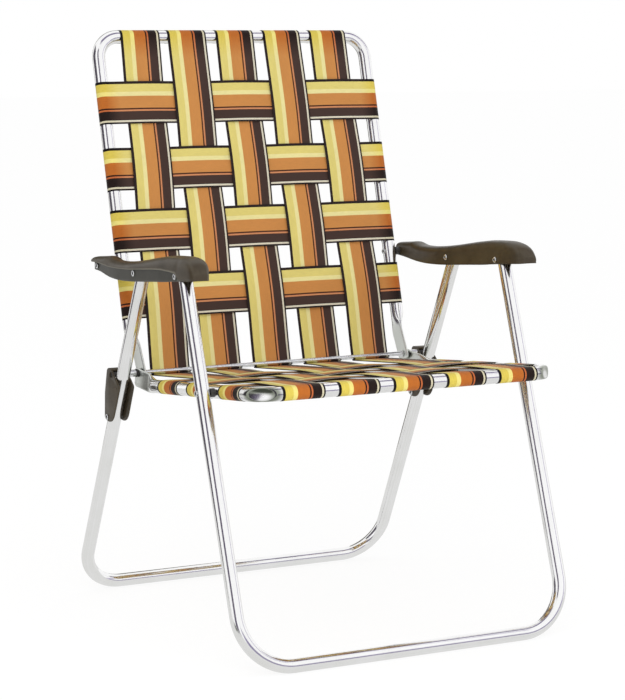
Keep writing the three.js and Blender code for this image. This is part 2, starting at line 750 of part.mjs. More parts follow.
// A strip that runs along the chair, in the side view's frame with the given origin and axes.
function longStrip(path, origin, along, up, xAt) {
  const sheet = stripSheet(path);
  const position = sheet.attributes.position;
  for (let i = 0; i < position.count; i++) {
    const side = origin.clone().addScaledVector(along, position.getX(i)).addScaledVector(up, position.getY(i));
    const x = xAt(position.getX(i)) + position.getZ(i);
    position.setXYZ(i, x, side.x, side.y);
  }
  return sheet;
}

// A strip that runs across the chair, centred at a place along the frame.
function crossStrip(path, origin, along, up, place) {
  const sheet = stripSheet(path);
  const position = sheet.attributes.position;
  for (let i = 0; i < position.count; i++) {
    const side = origin.clone().addScaledVector(along, place - position.getZ(i));
    side.addScaledVector(up, position.getY(i));
    position.setXYZ(i, position.getX(i), side.x, side.y);
  }
  return sheet;
}

const stripNumbers = [...Array(longStrips).keys()];
const fromMiddle = (k) => k - (longStrips - 1) / 2;
const topX = (k) => stripShiftTop + fromMiddle(k) * stripPitchTop + (k === 0 ? firstStripInset : 0);
const bottomX = (k) => stripShiftRod + fromMiddle(k) * stripPitchRod;
const frontX = (k) => fromMiddle(k) * stripPitchFront;

// Odd strips and odd crossings go the same way, so over and under alternate both ways.
const isOver = (k, j) => (k + j) % 2 === 1;
const backLongUp = (k, j) => stripLift + (isOver(k, j) ? waveHeight : -waveHeight);
const seatLongUp = (k, j) => stripLift + (isOver(k, j) ? -waveHeight : waveHeight);

// Back strips: from behind the rod, up through the cross strips and round the top bar.
const inFrame = (p, origin, along, up) => {
  const away = p.clone().sub(origin);
  return [away.dot(along), away.dot(up)];
};
const backLength = topBar.distanceTo(backFoot);
const backCrossPlaces = backCrossShares.map((share) => share * backLength);
const rodInBack = inFrame(rod, backFoot, backUp, backFront);
stripNumbers.forEach((k) => {
  const path = wrap(rodInBack, rodLift, Math.PI + rodWrapTurn, Math.PI, rodWrapSteps);
  const crossings = backCrossPlaces.map((place, j) => [place, backLongUp(k, j)]).reverse();
  chain(path, [...crossings, [backLength, stripLift]]);
  path.push(...wrap([backLength, 0], stripLift, 0, wrapTurn, wrapSteps).slice(1));
  const xAt = (along) => between(bottomX(k), topX(k), THREE.MathUtils.clamp(along / backLength, 0, 1));
  place("back_strip_" + (k + 1), longStrip(path, backFoot, backUp, backFront, xAt), webbing);
});

// Seat strips: from round the front bar, back through the cross strips and under the rod.
const rodInSeat = inFrame(rod, seatBar, seatAlong, seatUp);
const seatCrossPlaces = seatCrossShares.map((share) => share * rodInSeat[0]);
stripNumbers.forEach((k) => {
  const path = wrap([0, 0], stripLift, -wrapTurn, 0, wrapSteps);
  const crossings = seatCrossPlaces.map((place, j) => [place, seatLongUp(k, j)]);
  chain(path, [...crossings, [rodInSeat[0], rodInSeat[1] - rodLift]]);
  path.push(...wrap(rodInSeat, rodLift, Math.PI, Math.PI - rodWrapTurn, rodWrapSteps).slice(1));
  const xAt = (along) => between(frontX(k), bottomX(k), THREE.MathUtils.clamp(along / rodInSeat[0], 0, 1));
  place("seat_strip_" + (k + 1), longStrip(path, seatBar, seatAlong, seatUp, xAt), webbing);
});

// Cross strips: round one tube, through the long strips and round the other tube.
function crossPath(tubeX, xOf, upOf) {
  const path = wrap([-tubeX, 0], stripLift, -wrapTurn, 0, wrapSteps);
  chain(path, [...stripNumbers.map((k) => [xOf(k), upOf(k)]), [tubeX, stripLift]]);
  path.push(...wrap([tubeX, 0], stripLift, 0, wrapTurn, wrapSteps).slice(1));
  return path;
}

backCrossPlaces.forEach((at, j) => {
  const xOf = (k) => between(bottomX(k), topX(k), at / backLength);
  const path = crossPath(uprightX, xOf, (k) => 2 * stripLift - backLongUp(k, j));
  place("back_cross_strip_" + (j + 1), crossStrip(path, backFoot, backUp, backFront, at), webbing);
});

seatCrossPlaces.forEach((at, j) => {
  const xOf = (k) => between(frontX(k), bottomX(k), at / rodInSeat[0]);
  const path = crossPath(railX, xOf, (k) => 2 * stripLift - seatLongUp(k, j));
  place("seat_cross_strip_" + (j + 1), crossStrip(path, seatBar, seatAlong, seatUp, at), webbing);
});

export default chair;
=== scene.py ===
# Folding lawn chair with striped webbing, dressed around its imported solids. Metres, +Z up.
import json
from bisect import bisect_left
from itertools import accumulate
from math import atan2, ceil, copysign, cos, degrees, dist, exp, hypot, pi, radians, sin, sqrt, tan

import bmesh
import bpy
from mathutils import Matrix, Vector

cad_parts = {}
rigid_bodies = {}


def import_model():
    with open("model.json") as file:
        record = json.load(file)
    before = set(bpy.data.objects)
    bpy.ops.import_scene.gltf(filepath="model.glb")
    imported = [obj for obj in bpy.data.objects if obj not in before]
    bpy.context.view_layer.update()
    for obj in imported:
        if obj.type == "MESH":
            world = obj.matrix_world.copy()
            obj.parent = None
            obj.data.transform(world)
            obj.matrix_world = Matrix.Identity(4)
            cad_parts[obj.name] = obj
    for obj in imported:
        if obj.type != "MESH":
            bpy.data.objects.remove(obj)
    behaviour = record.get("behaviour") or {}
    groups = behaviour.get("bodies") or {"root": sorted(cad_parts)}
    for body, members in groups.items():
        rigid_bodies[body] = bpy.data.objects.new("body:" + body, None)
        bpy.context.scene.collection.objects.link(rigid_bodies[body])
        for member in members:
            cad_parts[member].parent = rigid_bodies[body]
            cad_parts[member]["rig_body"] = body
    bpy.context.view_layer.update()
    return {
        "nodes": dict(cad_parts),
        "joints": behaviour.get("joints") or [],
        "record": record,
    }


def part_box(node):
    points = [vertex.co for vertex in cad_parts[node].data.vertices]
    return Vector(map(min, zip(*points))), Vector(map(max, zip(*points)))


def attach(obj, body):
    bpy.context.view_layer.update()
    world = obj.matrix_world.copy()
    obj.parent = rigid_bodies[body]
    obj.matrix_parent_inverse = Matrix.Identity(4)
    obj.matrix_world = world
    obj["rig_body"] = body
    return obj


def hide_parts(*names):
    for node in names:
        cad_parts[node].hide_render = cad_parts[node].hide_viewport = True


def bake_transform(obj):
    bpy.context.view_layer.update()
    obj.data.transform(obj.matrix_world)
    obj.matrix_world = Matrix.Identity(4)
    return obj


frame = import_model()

mm = 0.001
seam = 0.001 * mm  # points this near each other are one
scene = bpy.context.scene
right = Vector((1, 0, 0))
bodyOf = {name: node["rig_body"] for name, node in frame["nodes"].items()}
pivots = {joint["name"]: Vector(joint["pos_m"]) for joint in frame["joints"]}
mounts = {mount["name"]: Vector(mount["pos_m"]) for mount in frame["record"]["mounts"]}


def millimetres(**lengths):
    return {name: length * mm for name, length in lengths.items()}


# Camera, at the photograph's place and tilt
photoView = {
    "place": (-1.9048, -3.4718, 1.0192),
    "turn": 28.63,  # degrees, to the right of straight ahead
    "dip": 8.26,
    "roll": 0.42,
    "lens": 123.98,
}


def makeCamera():
    camera = bpy.data.objects.new("camera", bpy.data.cameras.new("camera"))
    scene.collection.objects.link(camera)
    turn, dip, roll = (radians(photoView[key]) for key in ("turn", "dip", "roll"))
    camera.matrix_world = (Matrix.Translation(photoView["place"]) @ Matrix.Rotation(-turn, 4, "Z")
                           @ Matrix.Rotation(pi / 2 - dip, 4, "X") @ Matrix.Rotation(roll, 4, "Z"))
    camera.data.lens = photoView["lens"]
    scene.camera = camera
    print("camera stands at the photograph's view")


# Shader nodes: a Wire is a number or colour on its way from one node to the next
class Wire:
    def __init__(self, shader, socket):
        self.shader = shader
        self.socket = socket

    def __add__(self, other):
        return self.shader.maths("ADD", self, other)

    def __sub__(self, other):
        return self.shader.maths("SUBTRACT", self, other)

    def __rsub__(self, other):
        return self.shader.maths("SUBTRACT", other, self)

    def __mul__(self, other):
        return self.shader.maths("MULTIPLY", self, other)

    __radd__ = __add__
    __rmul__ = __mul__


class Shader:
    def __init__(self, owner):  # a material or a world
        self.owner = owner
        owner.use_nodes = True
        self.tree = owner.node_tree
        self.tree.nodes.clear()

    # One node: its type, its settings, then the values or wires of its sockets
    def node(self, kind, settings, inputs, output=0):
        made = self.tree.nodes.new("ShaderNode" + kind)
        for name, value in settings.items():
            if name == "stops":
                self.setStops(made.color_ramp, value)
            else:
                setattr(made, name, value)
        for key, value in inputs.items():
            if isinstance(value, Wire):
                self.tree.links.new(value.socket, made.inputs[key])
            else:
                made.inputs[key].default_value = value
        return Wire(self, made.outputs[output]) if made.outputs else made

    def setStops(self, ramp, stops):
        ramp.interpolation = "CONSTANT"
        while len(ramp.elements) < len(stops):
            ramp.elements.new(1)
        for element, (place, colour) in zip(ramp.elements, stops):
            element.position = place
            element.color = (*colour, 1)

    def maths(self, operation, a, b=0.0):
        return self.node("Math", {"operation": operation}, {0: a, 1: b})

    def ranged(self, value, low, high, toLow=0.0, toHigh=1.0, curve="LINEAR"):
        return self.node("MapRange", {"interpolation_type": curve}, {
            "Value": value, "From Min": low, "From Max": high, "To Min": toLow, "To Max": toHigh})

    def band(self, value, low, high, soft):  # 1 between low and high, with soft edges
        rise, fall = (self.ranged(value, edge - soft, edge + soft, curve="SMOOTHSTEP")
                      for edge in (low, high))
        return rise - fall

    def mix(self, factor, a, b, blend="MIX"):
        a, b = (c if isinstance(c, Wire) else (*c, 1) for c in (a, b))
        return self.node("Mix", {"data_type": "RGBA", "blend_type": blend}, {0: factor, 6: a, 7: b}, 2)

    def scaled(self, place, scale):
        return self.node("Mapping", {}, {"Vector": place, "Scale": scale})

    def objectPlace(self, scale=(1, 1, 1)):
        return self.scaled(self.node("TexCoord", {}, {}, "Object"), scale)

    def surfacePlace(self, scale=(1, 1, 1)):
        return self.scaled(self.node("UVMap", {"uv_map": "surface"}, {}), scale)

    def marked(self, name):  # a share written on the mesh's own points
        return self.node("Attribute", {"attribute_name": name}, {}, "Fac")

    def noise(self, place, scale, detail=3.0, roughness=0.5):
        return self.node("TexNoise", {}, {
            "Vector": place, "Scale": scale, "Detail": detail, "Roughness": roughness})

    def roughness(self, noise, finish):  # from the finish's smoothest to its roughest, by a noise
        return self.ranged(noise, 0.3, 0.7, *finish["roughness"])

    def bump(self, height, distance, strength, **under):
        return self.node("Bump", {}, {"Height": height, "Distance": distance, "Strength": strength, **under})

    def rays(self):  # 1 for what the camera sees, and 1 for what is mirrored
        return [self.node("LightPath", {}, {}, ray) for ray in ("Is Camera Ray", "Is Glossy Ray")]

    def glow(self, colour, strength=1.0):
        return self.node("Emission", {}, {"Color": (*colour, 1), "Strength": strength})

    def show(self, look, output="OutputMaterial"):
        self.node(output, {}, {"Surface": look})
        return self.owner

    def surface(self, inputs):
        return self.show(self.node("BsdfPrincipled", {}, inputs))


def newFinish(name):
    return Shader(bpy.data.materials.new(name))


def linear(red, green, blue):  # a colour read from the photograph, 0 to 255
    shares = [value / 255 for value in (red, green, blue)]
    return tuple(s / 12.92 if s <= 0.04045 else ((s + 0.055) / 1.055) ** 2.4 for s in shares)


tubeFinish = {
    "colour": (0.97, 0.97, 0.98),
    "dull": (0.89, 0.89, 0.88),
    "pressed": (0.78, 0.8, 0.76),
    "paintedRimReflection": (0.3, 0.32, 0.27),  # painted dark reflection round the rim of a crushed bend
    "roughness": (0.1, 0.17),
    "pressedRoughness": 0.2,  # added where the tube is pressed flat
    "drawLines": (34.0, 1.2, 1),  # lines round the tube, and changes to the metre
    "clouds": 26.0,
    "lineDepth": 0.06 * mm,
}


def makeTubeMetal():
    shader = newFinish("polished_tube")
    drawn = shader.noise(shader.surfacePlace(tubeFinish["drawLines"]), 1.0, 2.0)
    cloudy = shader.noise(shader.objectPlace(), tubeFinish["clouds"], 4.0)
    tone = shader.ranged(drawn * 0.6 + cloudy * 0.4, 0.35, 0.65)
    colour = shader.mix(tone, tubeFinish["colour"], tubeFinish["dull"])
    # painted dark reflection: the metal darkens round the rim of a crushed bend
    colour = shader.mix(shader.marked("dull"), colour, tubeFinish["paintedRimReflection"])
    pressed = shader.marked("pressed")
    return shader.surface({
        "Base Color": shader.mix(pressed, colour, tubeFinish["pressed"]),
        "Metallic": 1.0,
        "Roughness": (shader.roughness(cloudy * 0.5 + drawn * 0.5, tubeFinish)
                      + pressed * tubeFinish["pressedRoughness"]),
        "Normal": shader.bump(drawn, tubeFinish["lineDepth"], 0.35),
    })


steelFinish = {
    "colour": (0.78, 0.79, 0.8),
    "wornAndPaintedHighlight": (0.6, 0.6, 0.6),
    "hollow": (0.02, 0.02, 0.02),
    "roughness": (0.14, 0.3),
    "scratches": (40, 400, 400),
    "scratchDepth": 0.05 * mm,
    "spots": 320.0,
}


def makeSteel():
    shader = newFinish("bright_steel")
    scratch = shader.noise(shader.objectPlace(steelFinish["scratches"]), 1.0)
    spots = shader.noise(shader.objectPlace(), steelFinish["spots"])
    # painted shade: the points inside a rivet's hollow take a near-black, unmetallic colour
    hollow = shader.marked("hollow")
    colour = shader.mix(shader.ranged(spots, 0.45, 0.7), steelFinish["colour"], steelFinish["wornAndPaintedHighlight"])
    return shader.surface({
        "Base Color": shader.mix(hollow, colour, steelFinish["hollow"]),
        "Metallic": 1 - hollow,
        "Roughness": shader.roughness(scratch, steelFinish),
        "Normal": shader.bump(scratch, steelFinish["scratchDepth"], 0.3),
    })


blackFinish = {
    "colour": (0.022, 0.021, 0.02),
    "pale": (0.045, 0.043, 0.04),
    "roughness": (0.35, 0.55),
    "grain": 700.0,
    "grainDepth": 0.05 * mm,
}


def makeBlackPlastic():
    shader = newFinish("black_nylon")
    grain = shader.noise(shader.objectPlace(), blackFinish["grain"], 2.0)
    return shader.surface({
        "Base Color": shader.mix(grain, blackFinish["colour"], blackFinish["pale"]),
        "Roughness": shader.roughness(grain, blackFinish),
        "Normal": shader.bump(grain, blackFinish["grainDepth"], 0.3),
    })


armFinish = {
    "colour": linear(68, 58, 41),
    "dark": linear(56, 47, 32),
    "pale": linear(82, 73, 55),
    "panel": linear(50, 48, 38),  # painted shade on the recessed outer side
    "ledge": linear(104, 98, 82),  # painted highlight along the edge above it
    "roughness": (0.32, 0.46),
    "specular": 0.45,
    "grain": 900.0,
    "grainDepth": 0.08 * mm,
    "mottle": 30.0,
    "mottleDepth": 0.6 * mm,
    "flow": (60, 9, 60),
}


def makeMouldedPlastic():
    shader = newFinish("moulded_plastic")
    grain = shader.noise(shader.objectPlace(), armFinish["grain"], 2.0)
    mottle = shader.noise(shader.objectPlace(), armFinish["mottle"], 4.0, 0.6)
    flow = shader.noise(shader.objectPlace(armFinish["flow"]), 1.0)
    tone = shader.mix(shader.ranged(mottle, 0.35, 0.7), armFinish["colour"], armFinish["dark"])
    tone = shader.mix(shader.ranged(flow, 0.55, 0.8, 0.0, 0.5), tone, armFinish["pale"])
    # painted shade on the recessed outer side, below the ledge
    tone = shader.mix(shader.marked("panel"), tone, armFinish["panel"])
    # painted highlight along the ledge above the recessed side
    wornAndPaintedHighlight = shader.ranged(shader.marked("ledge"), 0.82, 1.0)
    return shader.surface({
        "Base Color": shader.mix(wornAndPaintedHighlight, tone, armFinish["ledge"]),
        "Roughness": shader.roughness(mottle * 0.6 + grain * 0.4, armFinish),
        "Specular IOR Level": armFinish["specular"],
        "Normal": shader.bump(grain, armFinish["grainDepth"], 0.35,
                              Normal=shader.bump(mottle, armFinish["mottleDepth"], 0.25)),
    })


# Webbing. Each stripe: where it begins across the strap, as a share of the width, and its colour
webFinish = {
    "stripes": [
        (0.0, linear(38, 28, 27)),
        (0.06, linear(224, 208, 121)),
        (0.243, linear(236, 225, 158)),
        (0.345, linear(203, 138, 74)),
        (0.631, linear(72, 40, 26)),
        (0.666, linear(206, 136, 92)),
        (0.707, linear(67, 49, 43)),
        (0.905, linear(40, 31, 30)),
        (0.917, linear(232, 225, 203)),
        (0.958, linear(38, 28, 27)),
    ],
    "tubeShadeGamma": 1.5,  # painted shade: how the colours deepen where a tube lies behind the strap
    "tubeShadeGain": (1.13, 1.15, 1.15),
    "stitch": linear(96, 82, 70),
    "stitched": (0.917, 0.958),  # the pale stripe that the stitches cross
    "yarns": 52,  # across the width
    "picks": 1.15 * mm,  # along the length
    "threads": 90,  # to the metre
    "shade": (0.93, 0.05, 0.2, 0.16),  # of the plain strap, and what its weave, threads and wear add
    "wear": (3, 14, 1),
    "roughness": (0.5, 0.72),
    "specular": 0.18,
    "sheen": 0.04,
    "weaveDepth": 0.16 * mm,
}


def makeWebbing():
    shader = newFinish("striped_webbing")
    spot = shader.surfacePlace()
    across, along = (shader.node("SeparateXYZ", {}, {0: spot}, axis) for axis in "XY")
    stripes = shader.node("ValToRGB", {"stops": webFinish["stripes"]}, {"Fac": across})
    yarn = shader.maths("SINE", across * (webFinish["yarns"] * 2 * pi))
    pick = shader.maths("SINE", along * (2 * pi / webFinish["picks"]))
    weave = yarn * pick
    threads = shader.noise(shader.surfacePlace((webFinish["yarns"], webFinish["threads"], 1)), 1.0, 2.0)
    wear = shader.noise(shader.surfacePlace(webFinish["wear"]), 1.0, 4.0)
    plain, byWeave, byThreads, byWear = webFinish["shade"]
    shade = plain + byWeave * weave + byThreads * (threads - 0.5) + byWear * (wear - 0.5)
    grey = shader.node("CombineColor", {}, {0: shade, 1: shade, 2: shade})
    colour = shader.mix(1.0, stripes, grey, "MULTIPLY")
    stitch = shader.band(across, *webFinish["stitched"], 0.001) * shader.ranged(pick, -0.9, -0.3, 0.5, 0.0)
    colour = shader.mix(stitch, colour, webFinish["stitch"])
    # painted shade where a tube lies behind the strap: deeper colours
    tubeShadedColour = shader.node("Gamma", {}, {"Color": colour, "Gamma": webFinish["tubeShadeGamma"]})
    tubeShadedColour = shader.mix(1.0, tubeShadedColour, webFinish["tubeShadeGain"], "MULTIPLY")
    return shader.surface({
        "Base Color": shader.mix(shader.marked("backed"), colour, tubeShadedColour),
        "Roughness": shader.roughness(threads, webFinish),
        "Specular IOR Level": webFinish["specular"],
        "Sheen Weight": webFinish["sheen"],
        "Normal": shader.bump(weave * 0.5 + threads, webFinish["weaveDepth"], 0.6),
    })


# Pieces. Faces that meet at less than the sharp angle are shaded as one
def makeObject(name, bm, material, sharp=None):
    for edge in bm.edges if sharp else ():
        edge.smooth = len(edge.link_faces) == 2 and edge.calc_face_angle(0) < radians(sharp)
    for face in bm.faces:
        face.smooth = True
    mesh = bpy.data.meshes.new(name)
    bm.to_mesh(mesh)
    bm.free()
    mesh.materials.append(material)
    made = bpy.data.objects.new(name, mesh)
    scene.collection.objects.link(made)
    return made


def addPiece(name, bm, material, nodes=(), body=None, sharp=40):
    bmesh.ops.remove_doubles(bm, verts=bm.verts, dist=seam)
    bmesh.ops.recalc_face_normals(bm, faces=bm.faces)
    tie(makeObject(name, bm, material, sharp), nodes, body)


# The solids that a piece stands for, and the body that it rides on
def tie(piece, nodes, body=None):
    if nodes:
        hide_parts(*nodes)
    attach(piece, body or bodyOf[nodes[0]])


def vertsOf(grown):
    return [item for item in grown["geom"] if isinstance(item, bmesh.types.BMVert)]


def pairsOf(row, closed=False):
    return zip(row, row[1:] + (row[:1] if closed else []))


# A surface through rows of points, each row extruded from the one before
def growRows(bm, rows, closed=False):
    chains = [[bm.verts.new(p) for p in rows[0]]]
    edges = [bm.edges.new(pair) for pair in pairsOf(chains[0], closed)]
    for points in rows[1:]:
        fresh = set(vertsOf(bmesh.ops.extrude_edge_only(bm, edges=edges)))
        verts = [next(e.other_vert(v) for e in v.link_edges if e.other_vert(v) in fresh) for v in chains[-1]]
        for vert, p in zip(verts, points):
            vert.co = p
        chains.append(verts)
        edges = [bm.edges.get(pair) for pair in pairsOf(verts, closed)]
    return chains


# A turned piece: its profile is (distance along, radius) pairs, spun round an axis from the centre
def turned(bm, profile, centre, axis=right, steps=32):
    axis = axis.normalized()
    side = axis.orthogonal().normalized()
    verts = [bm.verts.new(centre + axis * along + side * radius) for along, radius in profile]
    edges = [bm.edges.new(pair) for pair in pairsOf(verts)]
    bmesh.ops.spin(bm, geom=verts + edges, cent=centre, axis=axis, angle=2 * pi, steps=steps,
                   use_merge=True, use_duplicate=False)


def cornerCurve(start, corner, end, steps):
    shares = [i / steps for i in range(steps + 1)]
    return [start * (1 - s) ** 2 + corner * 2 * s * (1 - s) + end * s ** 2 for s in shares]


# The profile with its inner corners rounded off, each over less than half of its sides
def rounded(profile, radius, steps=3):
    points = [Vector(p) for p in profile]
    result = points[:1]
    for before, corner, after in zip(points, points[1:], points[2:]):
        sides = (before - corner, after - corner)
        reach = min(radius, *(side.length * 0.45 for side in sides))
        start, end = (corner + side.normalized() * reach for side in sides)
        result += cornerCurve(start, corner, end, steps)
    return result + points[-1:]


def sideOf(sign):
    return "right" if sign > 0 else "left"


def atX(x, place):
    return Vector((x, place.y, place.z))


def mixed(a, b, share):
    return a + (b - a) * share


def smooth(share):
    share = min(max(share, 0), 1)
    return share * share * (3 - 2 * share)


def runningLength(steps):
    return list(accumulate(steps, initial=0.0))


def inFront(along):  # square to a direction in the chair's side view
    return Vector((0, -along.z, along.y))


# Tubes
tube = {
    **millimetres(radius=11.1, wall=1.4, legX=294.7, railX=263.6, uprightX=258.8, frontBend=85, rearBend=72,
                  seatBend=34, backBend=38, kneeBend=60, straightStep=60, endReach=9, endDepth=40),
    "sides": 40,
    "bendStep": 4,  # degrees
    "splay": 15,  # degrees, of the legs over their floor bars
}
blade = {
    **millimetres(halfWidth=16, halfThickness=2, length=50, pressLength=40, tipRound=6, seatX=259.5,
                  backX=253),
    "tipShare": 0.72, "tipSteps": 8, "pressSteps": 16,
    "sunk": 0.72,  # the middle's thickness, as a share of the edge's
    "steepness": 2.2,  # of the rounding at the edge
    "seatDrop": 8.5 * mm,  # the seat's rod hole is this far above the middle of its blade
    "reach": 11 * mm,  # past the rod
}

armMiddle = pivots["fold"]
armFront = pivots["front_leg_swing"]
armBack = pivots["back_swing"]
rod = pivots["seat_fold"]
linkPivot = pivots["right_link_swing"]
seatPivot = atX(0, sum(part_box("seat_pivot_rivet_right"), Vector()) / 2)
footRise = Vector((0, 0, tube["radius"] * cos(radians(tube["splay"]))))
frontFoot = mounts["front_floor_bar"] + footRise
rearFoot = mounts["rear_floor_bar"] + footRise
seatBar = Vector((0, -301, 431.5)) * mm
railKnee = Vector((0, 78, 391)) * mm
topBar = Vector((0, 314.5, 954.8)) * mm
backKneeRise = 54 * mm

backUp = (topBar - armBack).normalized()
backFoot = armBack + backUp * ((rod.z - armBack.z) / backUp.z)
backKnee = backFoot + backUp * backKneeRise
seatAlong = (railKnee - seatBar).normalized()
linkLength = (rod - linkPivot).length
linkUp = (rod - linkPivot).normalized()
armLine = (armFront - armBack).normalized()
armUp = -inFront(armLine)


# The centre line through the corners as (place, direction) stations, each corner rounded by its radius
def stationsThrough(corners, radii):
    stations = [(corners[0], (corners[1] - corners[0]).normalized())]
    for before, corner, after, radius in zip(corners, corners[1:], corners[2:], radii):
        into = (corner - before).normalized()
        out = (after - corner).normalized()
        turn = into.angle(out)
        start = corner - into * radius * tan(turn / 2)
        addStraight(stations, start, into)
        inward = (out - into * out.dot(into)).normalized()
        steps = ceil(degrees(turn) / tube["bendStep"])
        for i in range(1, steps + 1):
            angle = turn * i / steps
            place = start + into * radius * sin(angle) + inward * radius * (1 - cos(angle))
            stations.append((place, into * cos(angle) + inward * sin(angle)))
    addStraight(stations, corners[-1], (corners[-1] - corners[-2]).normalized())
    return stations


def bothSides(x, side):  # corners down one side and up the other
    return [atX(-x, p) for p in side] + [atX(x, p) for p in reversed(side)]


def addStraight(stations, end, along):
    start = stations[-1][0]
    steps = max(1, ceil((end - start).length / tube["straightStep"]))
    for i in range(1, steps + 1):
        stations.append((start.lerp(end, i / steps), along))


# Stations with their distance from the nearer end, a few millimetres apart where the tube is pressed
def withPressedEnds(stations):
    tips, presses = blade["tipSteps"], blade["pressSteps"]
    wanted = [blade["tipRound"] * (1 - cos(pi / 2 * i / tips)) for i in range(1, tips + 1)]
    wanted += [blade["length"] + blade["pressLength"] * i / presses for i in range(presses + 1)]
    reached = runningLength((b[0] - a[0]).length for a, b in zip(stations, stations[1:]))
    length = reached[-1]
    result = []
    last = -1.0
    for distance in sorted(reached + wanted + [length - d for d in wanted]):
        if distance - last < 0.1 * mm:
            continue
        last = distance
        upper = min(max(bisect_left(reached, distance), 1), len(reached) - 1)
        share = (distance - reached[upper - 1]) / (reached[upper] - reached[upper - 1])
        place, along = (a.lerp(b, share) for a, b in zip(stations[upper - 1], stations[upper]))
        result.append((place, along.normalized(), min(distance, length - distance)))
    return result


# One ring of a tube's surface: a circle, or towards a pressed end a flat blade with a sunk middle
def ringPoints(place, along, front, press=0.0, width=None, inset=0.0):
    flat = (front - along * front.dot(along)).normalized()
    across = along.cross(flat)
    radius = tube["radius"] - inset
    points = []
    for i in range(tube["sides"]):
        angle = 2 * pi * (i + 0.5) / tube["sides"]
        spot = Vector((radius * cos(angle), radius * sin(angle)))
        if press:
            thick = blade["halfThickness"] * mixed(blade["sunk"], 1, cos(angle) ** 4)
            edge = copysign(min(1, abs(sin(angle)) * blade["steepness"]), sin(angle))
            spot = spot.lerp(Vector((width * cos(angle), thick * edge)), press)
        points.append(place + flat * spot.x + across * spot.y)
    return points


# Skins the rings, with the surface coordinates round and along the tube, and closes both ends
def skin(rings, presses):
    bm = bmesh.new()
    surface = bm.loops.layers.uv.new("surface")
    pressed = bm.verts.layers.float.new("pressed")
    loops = growRows(bm, rings, closed=True)
    place = {}
    distance = 0.0
    for i, (verts, press) in enumerate(zip(loops, presses)):
        if i:
            distance += (verts[0].co - loops[i - 1][0].co).length
        for j, vert in enumerate(verts):
            vert[pressed] = press
            place[vert] = (j / tube["sides"], distance)
    for face in bm.faces:
        spots = [place[loop.vert] for loop in face.loops]
        shares = [share for share, _ in spots]
        wraps = max(shares) - min(shares) > 0.5
        for loop, (share, along) in zip(face.loops, spots):
            loop[surface].uv = (share + 1 if wraps and share < 0.5 else share, along)
    for rim in (loops[0], loops[-1]):
        bm.faces.new(rim)
    return bm


# The outer wall of a tight bend is crushed to a flat oval, a little dished, and a painted dark reflection is
# marked round the oval's rim
crushed = {
    **millimetres(depth=8, dish=2.2, edge=1.6),
    "swell": 0.08,
    "brightSpot": 0.3,  # middle of the painted dark reflection, where the metal stays bright: below the oval's middle, as a share of the half height
    "rim": (0.3, 0.5),  # where the painted dark reflection round the rim begins, and its width, as shares of the oval
}


def crushBend(bm, centre, outward, upward, radius):
    depth, edge = crushed["depth"], crushed["edge"]
    rimFrom, rimWidth = crushed["rim"]
    outer = radius + tube["radius"]
    level = outer - depth
    halfLength = sqrt(outer ** 2 - level ** 2)
    halfHeight = sqrt(tube["radius"] ** 2 - (tube["radius"] - depth) ** 2)
    dull = bm.verts.layers.float.get("dull") or bm.verts.layers.float.new("dull")
    for vert in bm.verts:
        away = vert.co - centre
        over = away.dot(outward) - level
        if away.length > outer + tube["wall"] or over < -depth:
            continue
        rise = away.dot(upward) / halfHeight
        run = away.dot(outward.cross(upward)) / halfLength
        spread = hypot(rise + crushed["brightSpot"], run)
        reach = smooth(2 - abs(run)) * smooth(1 + over / depth)
        # painted dark reflection, strongest round the rim of the oval and fading out away from the bend
        vert[dull] = smooth((spread - rimFrom) / rimWidth) * reach
        if over > 0:
            left = edge * (1 - exp(-over / edge))
            dish = crushed["dish"] * max(0, 1 - rise ** 2 - run ** 2)
            swell = crushed["swell"] * min(over / depth, 1)
            vert.co += outward * (left - over - dish) + upward * away.dot(upward) * swell


# A leg frame: a U on the floor with open, bored ends
def legFrame(name, node, pivot, foot, radius):
    down = (foot - pivot).normalized()
    front = -inFront(down)
    corners = bothSides(tube["legX"], [pivot - down * tube["endReach"], foot])
    stations = stationsThrough(corners, [radius, radius])
    rings = [ringPoints(place, along, front) for place, along in stations]
    (start, startAlong), (end, endAlong) = stations[0], stations[-1]
    for depth, inset in ((0, tube["wall"] / 2), (0, tube["wall"]), (tube["endDepth"], tube["wall"])):
        rings.insert(0, ringPoints(start + startAlong * depth, startAlong, front, inset=inset))
        rings.append(ringPoints(end - endAlong * depth, endAlong, front, inset=inset))
    addPiece(name, skin(rings, [0.0] * len(rings)), tubeMetal, [node])


# The seat's or the back's frame: a U whose ends are pressed flat and bent at the knee towards the rod
def pressedFrame(name, node, knee, corner, x, bladeX, radius, front, drop, crush):
    end = rod - front * drop
    corners = bothSides(x, [end - (knee - end).normalized() * blade["reach"], knee, corner])
    rings = []
    presses = []
    radii = [tube["kneeBend"], radius, radius, tube["kneeBend"]]
    for place, along, fromEnd in withPressedEnds(stationsThrough(corners, radii)):
        press = 1 - smooth((fromEnd - blade["length"]) / blade["pressLength"])
        short = 1 - min(fromEnd / blade["tipRound"], 1)
        width = blade["halfWidth"] * mixed(blade["tipShare"], 1, sqrt(1 - short ** 2))
        sideways = copysign(1, place.x) * (bladeX - abs(place.x)) * press
        rings.append(ringPoints(place + right * sideways, along, front, press, width))
        presses.append(press)
    bm = skin(rings, presses)
    along = (knee - corner).normalized()
    for sign in (-1, 1) if crush else ():
        centre = atX(sign * (x - radius), corner + along * radius)
        crushBend(bm, centre, (right * sign - along).normalized(), front, radius)
    addPiece(name, bm, tubeMetal, [node], sharp=60)


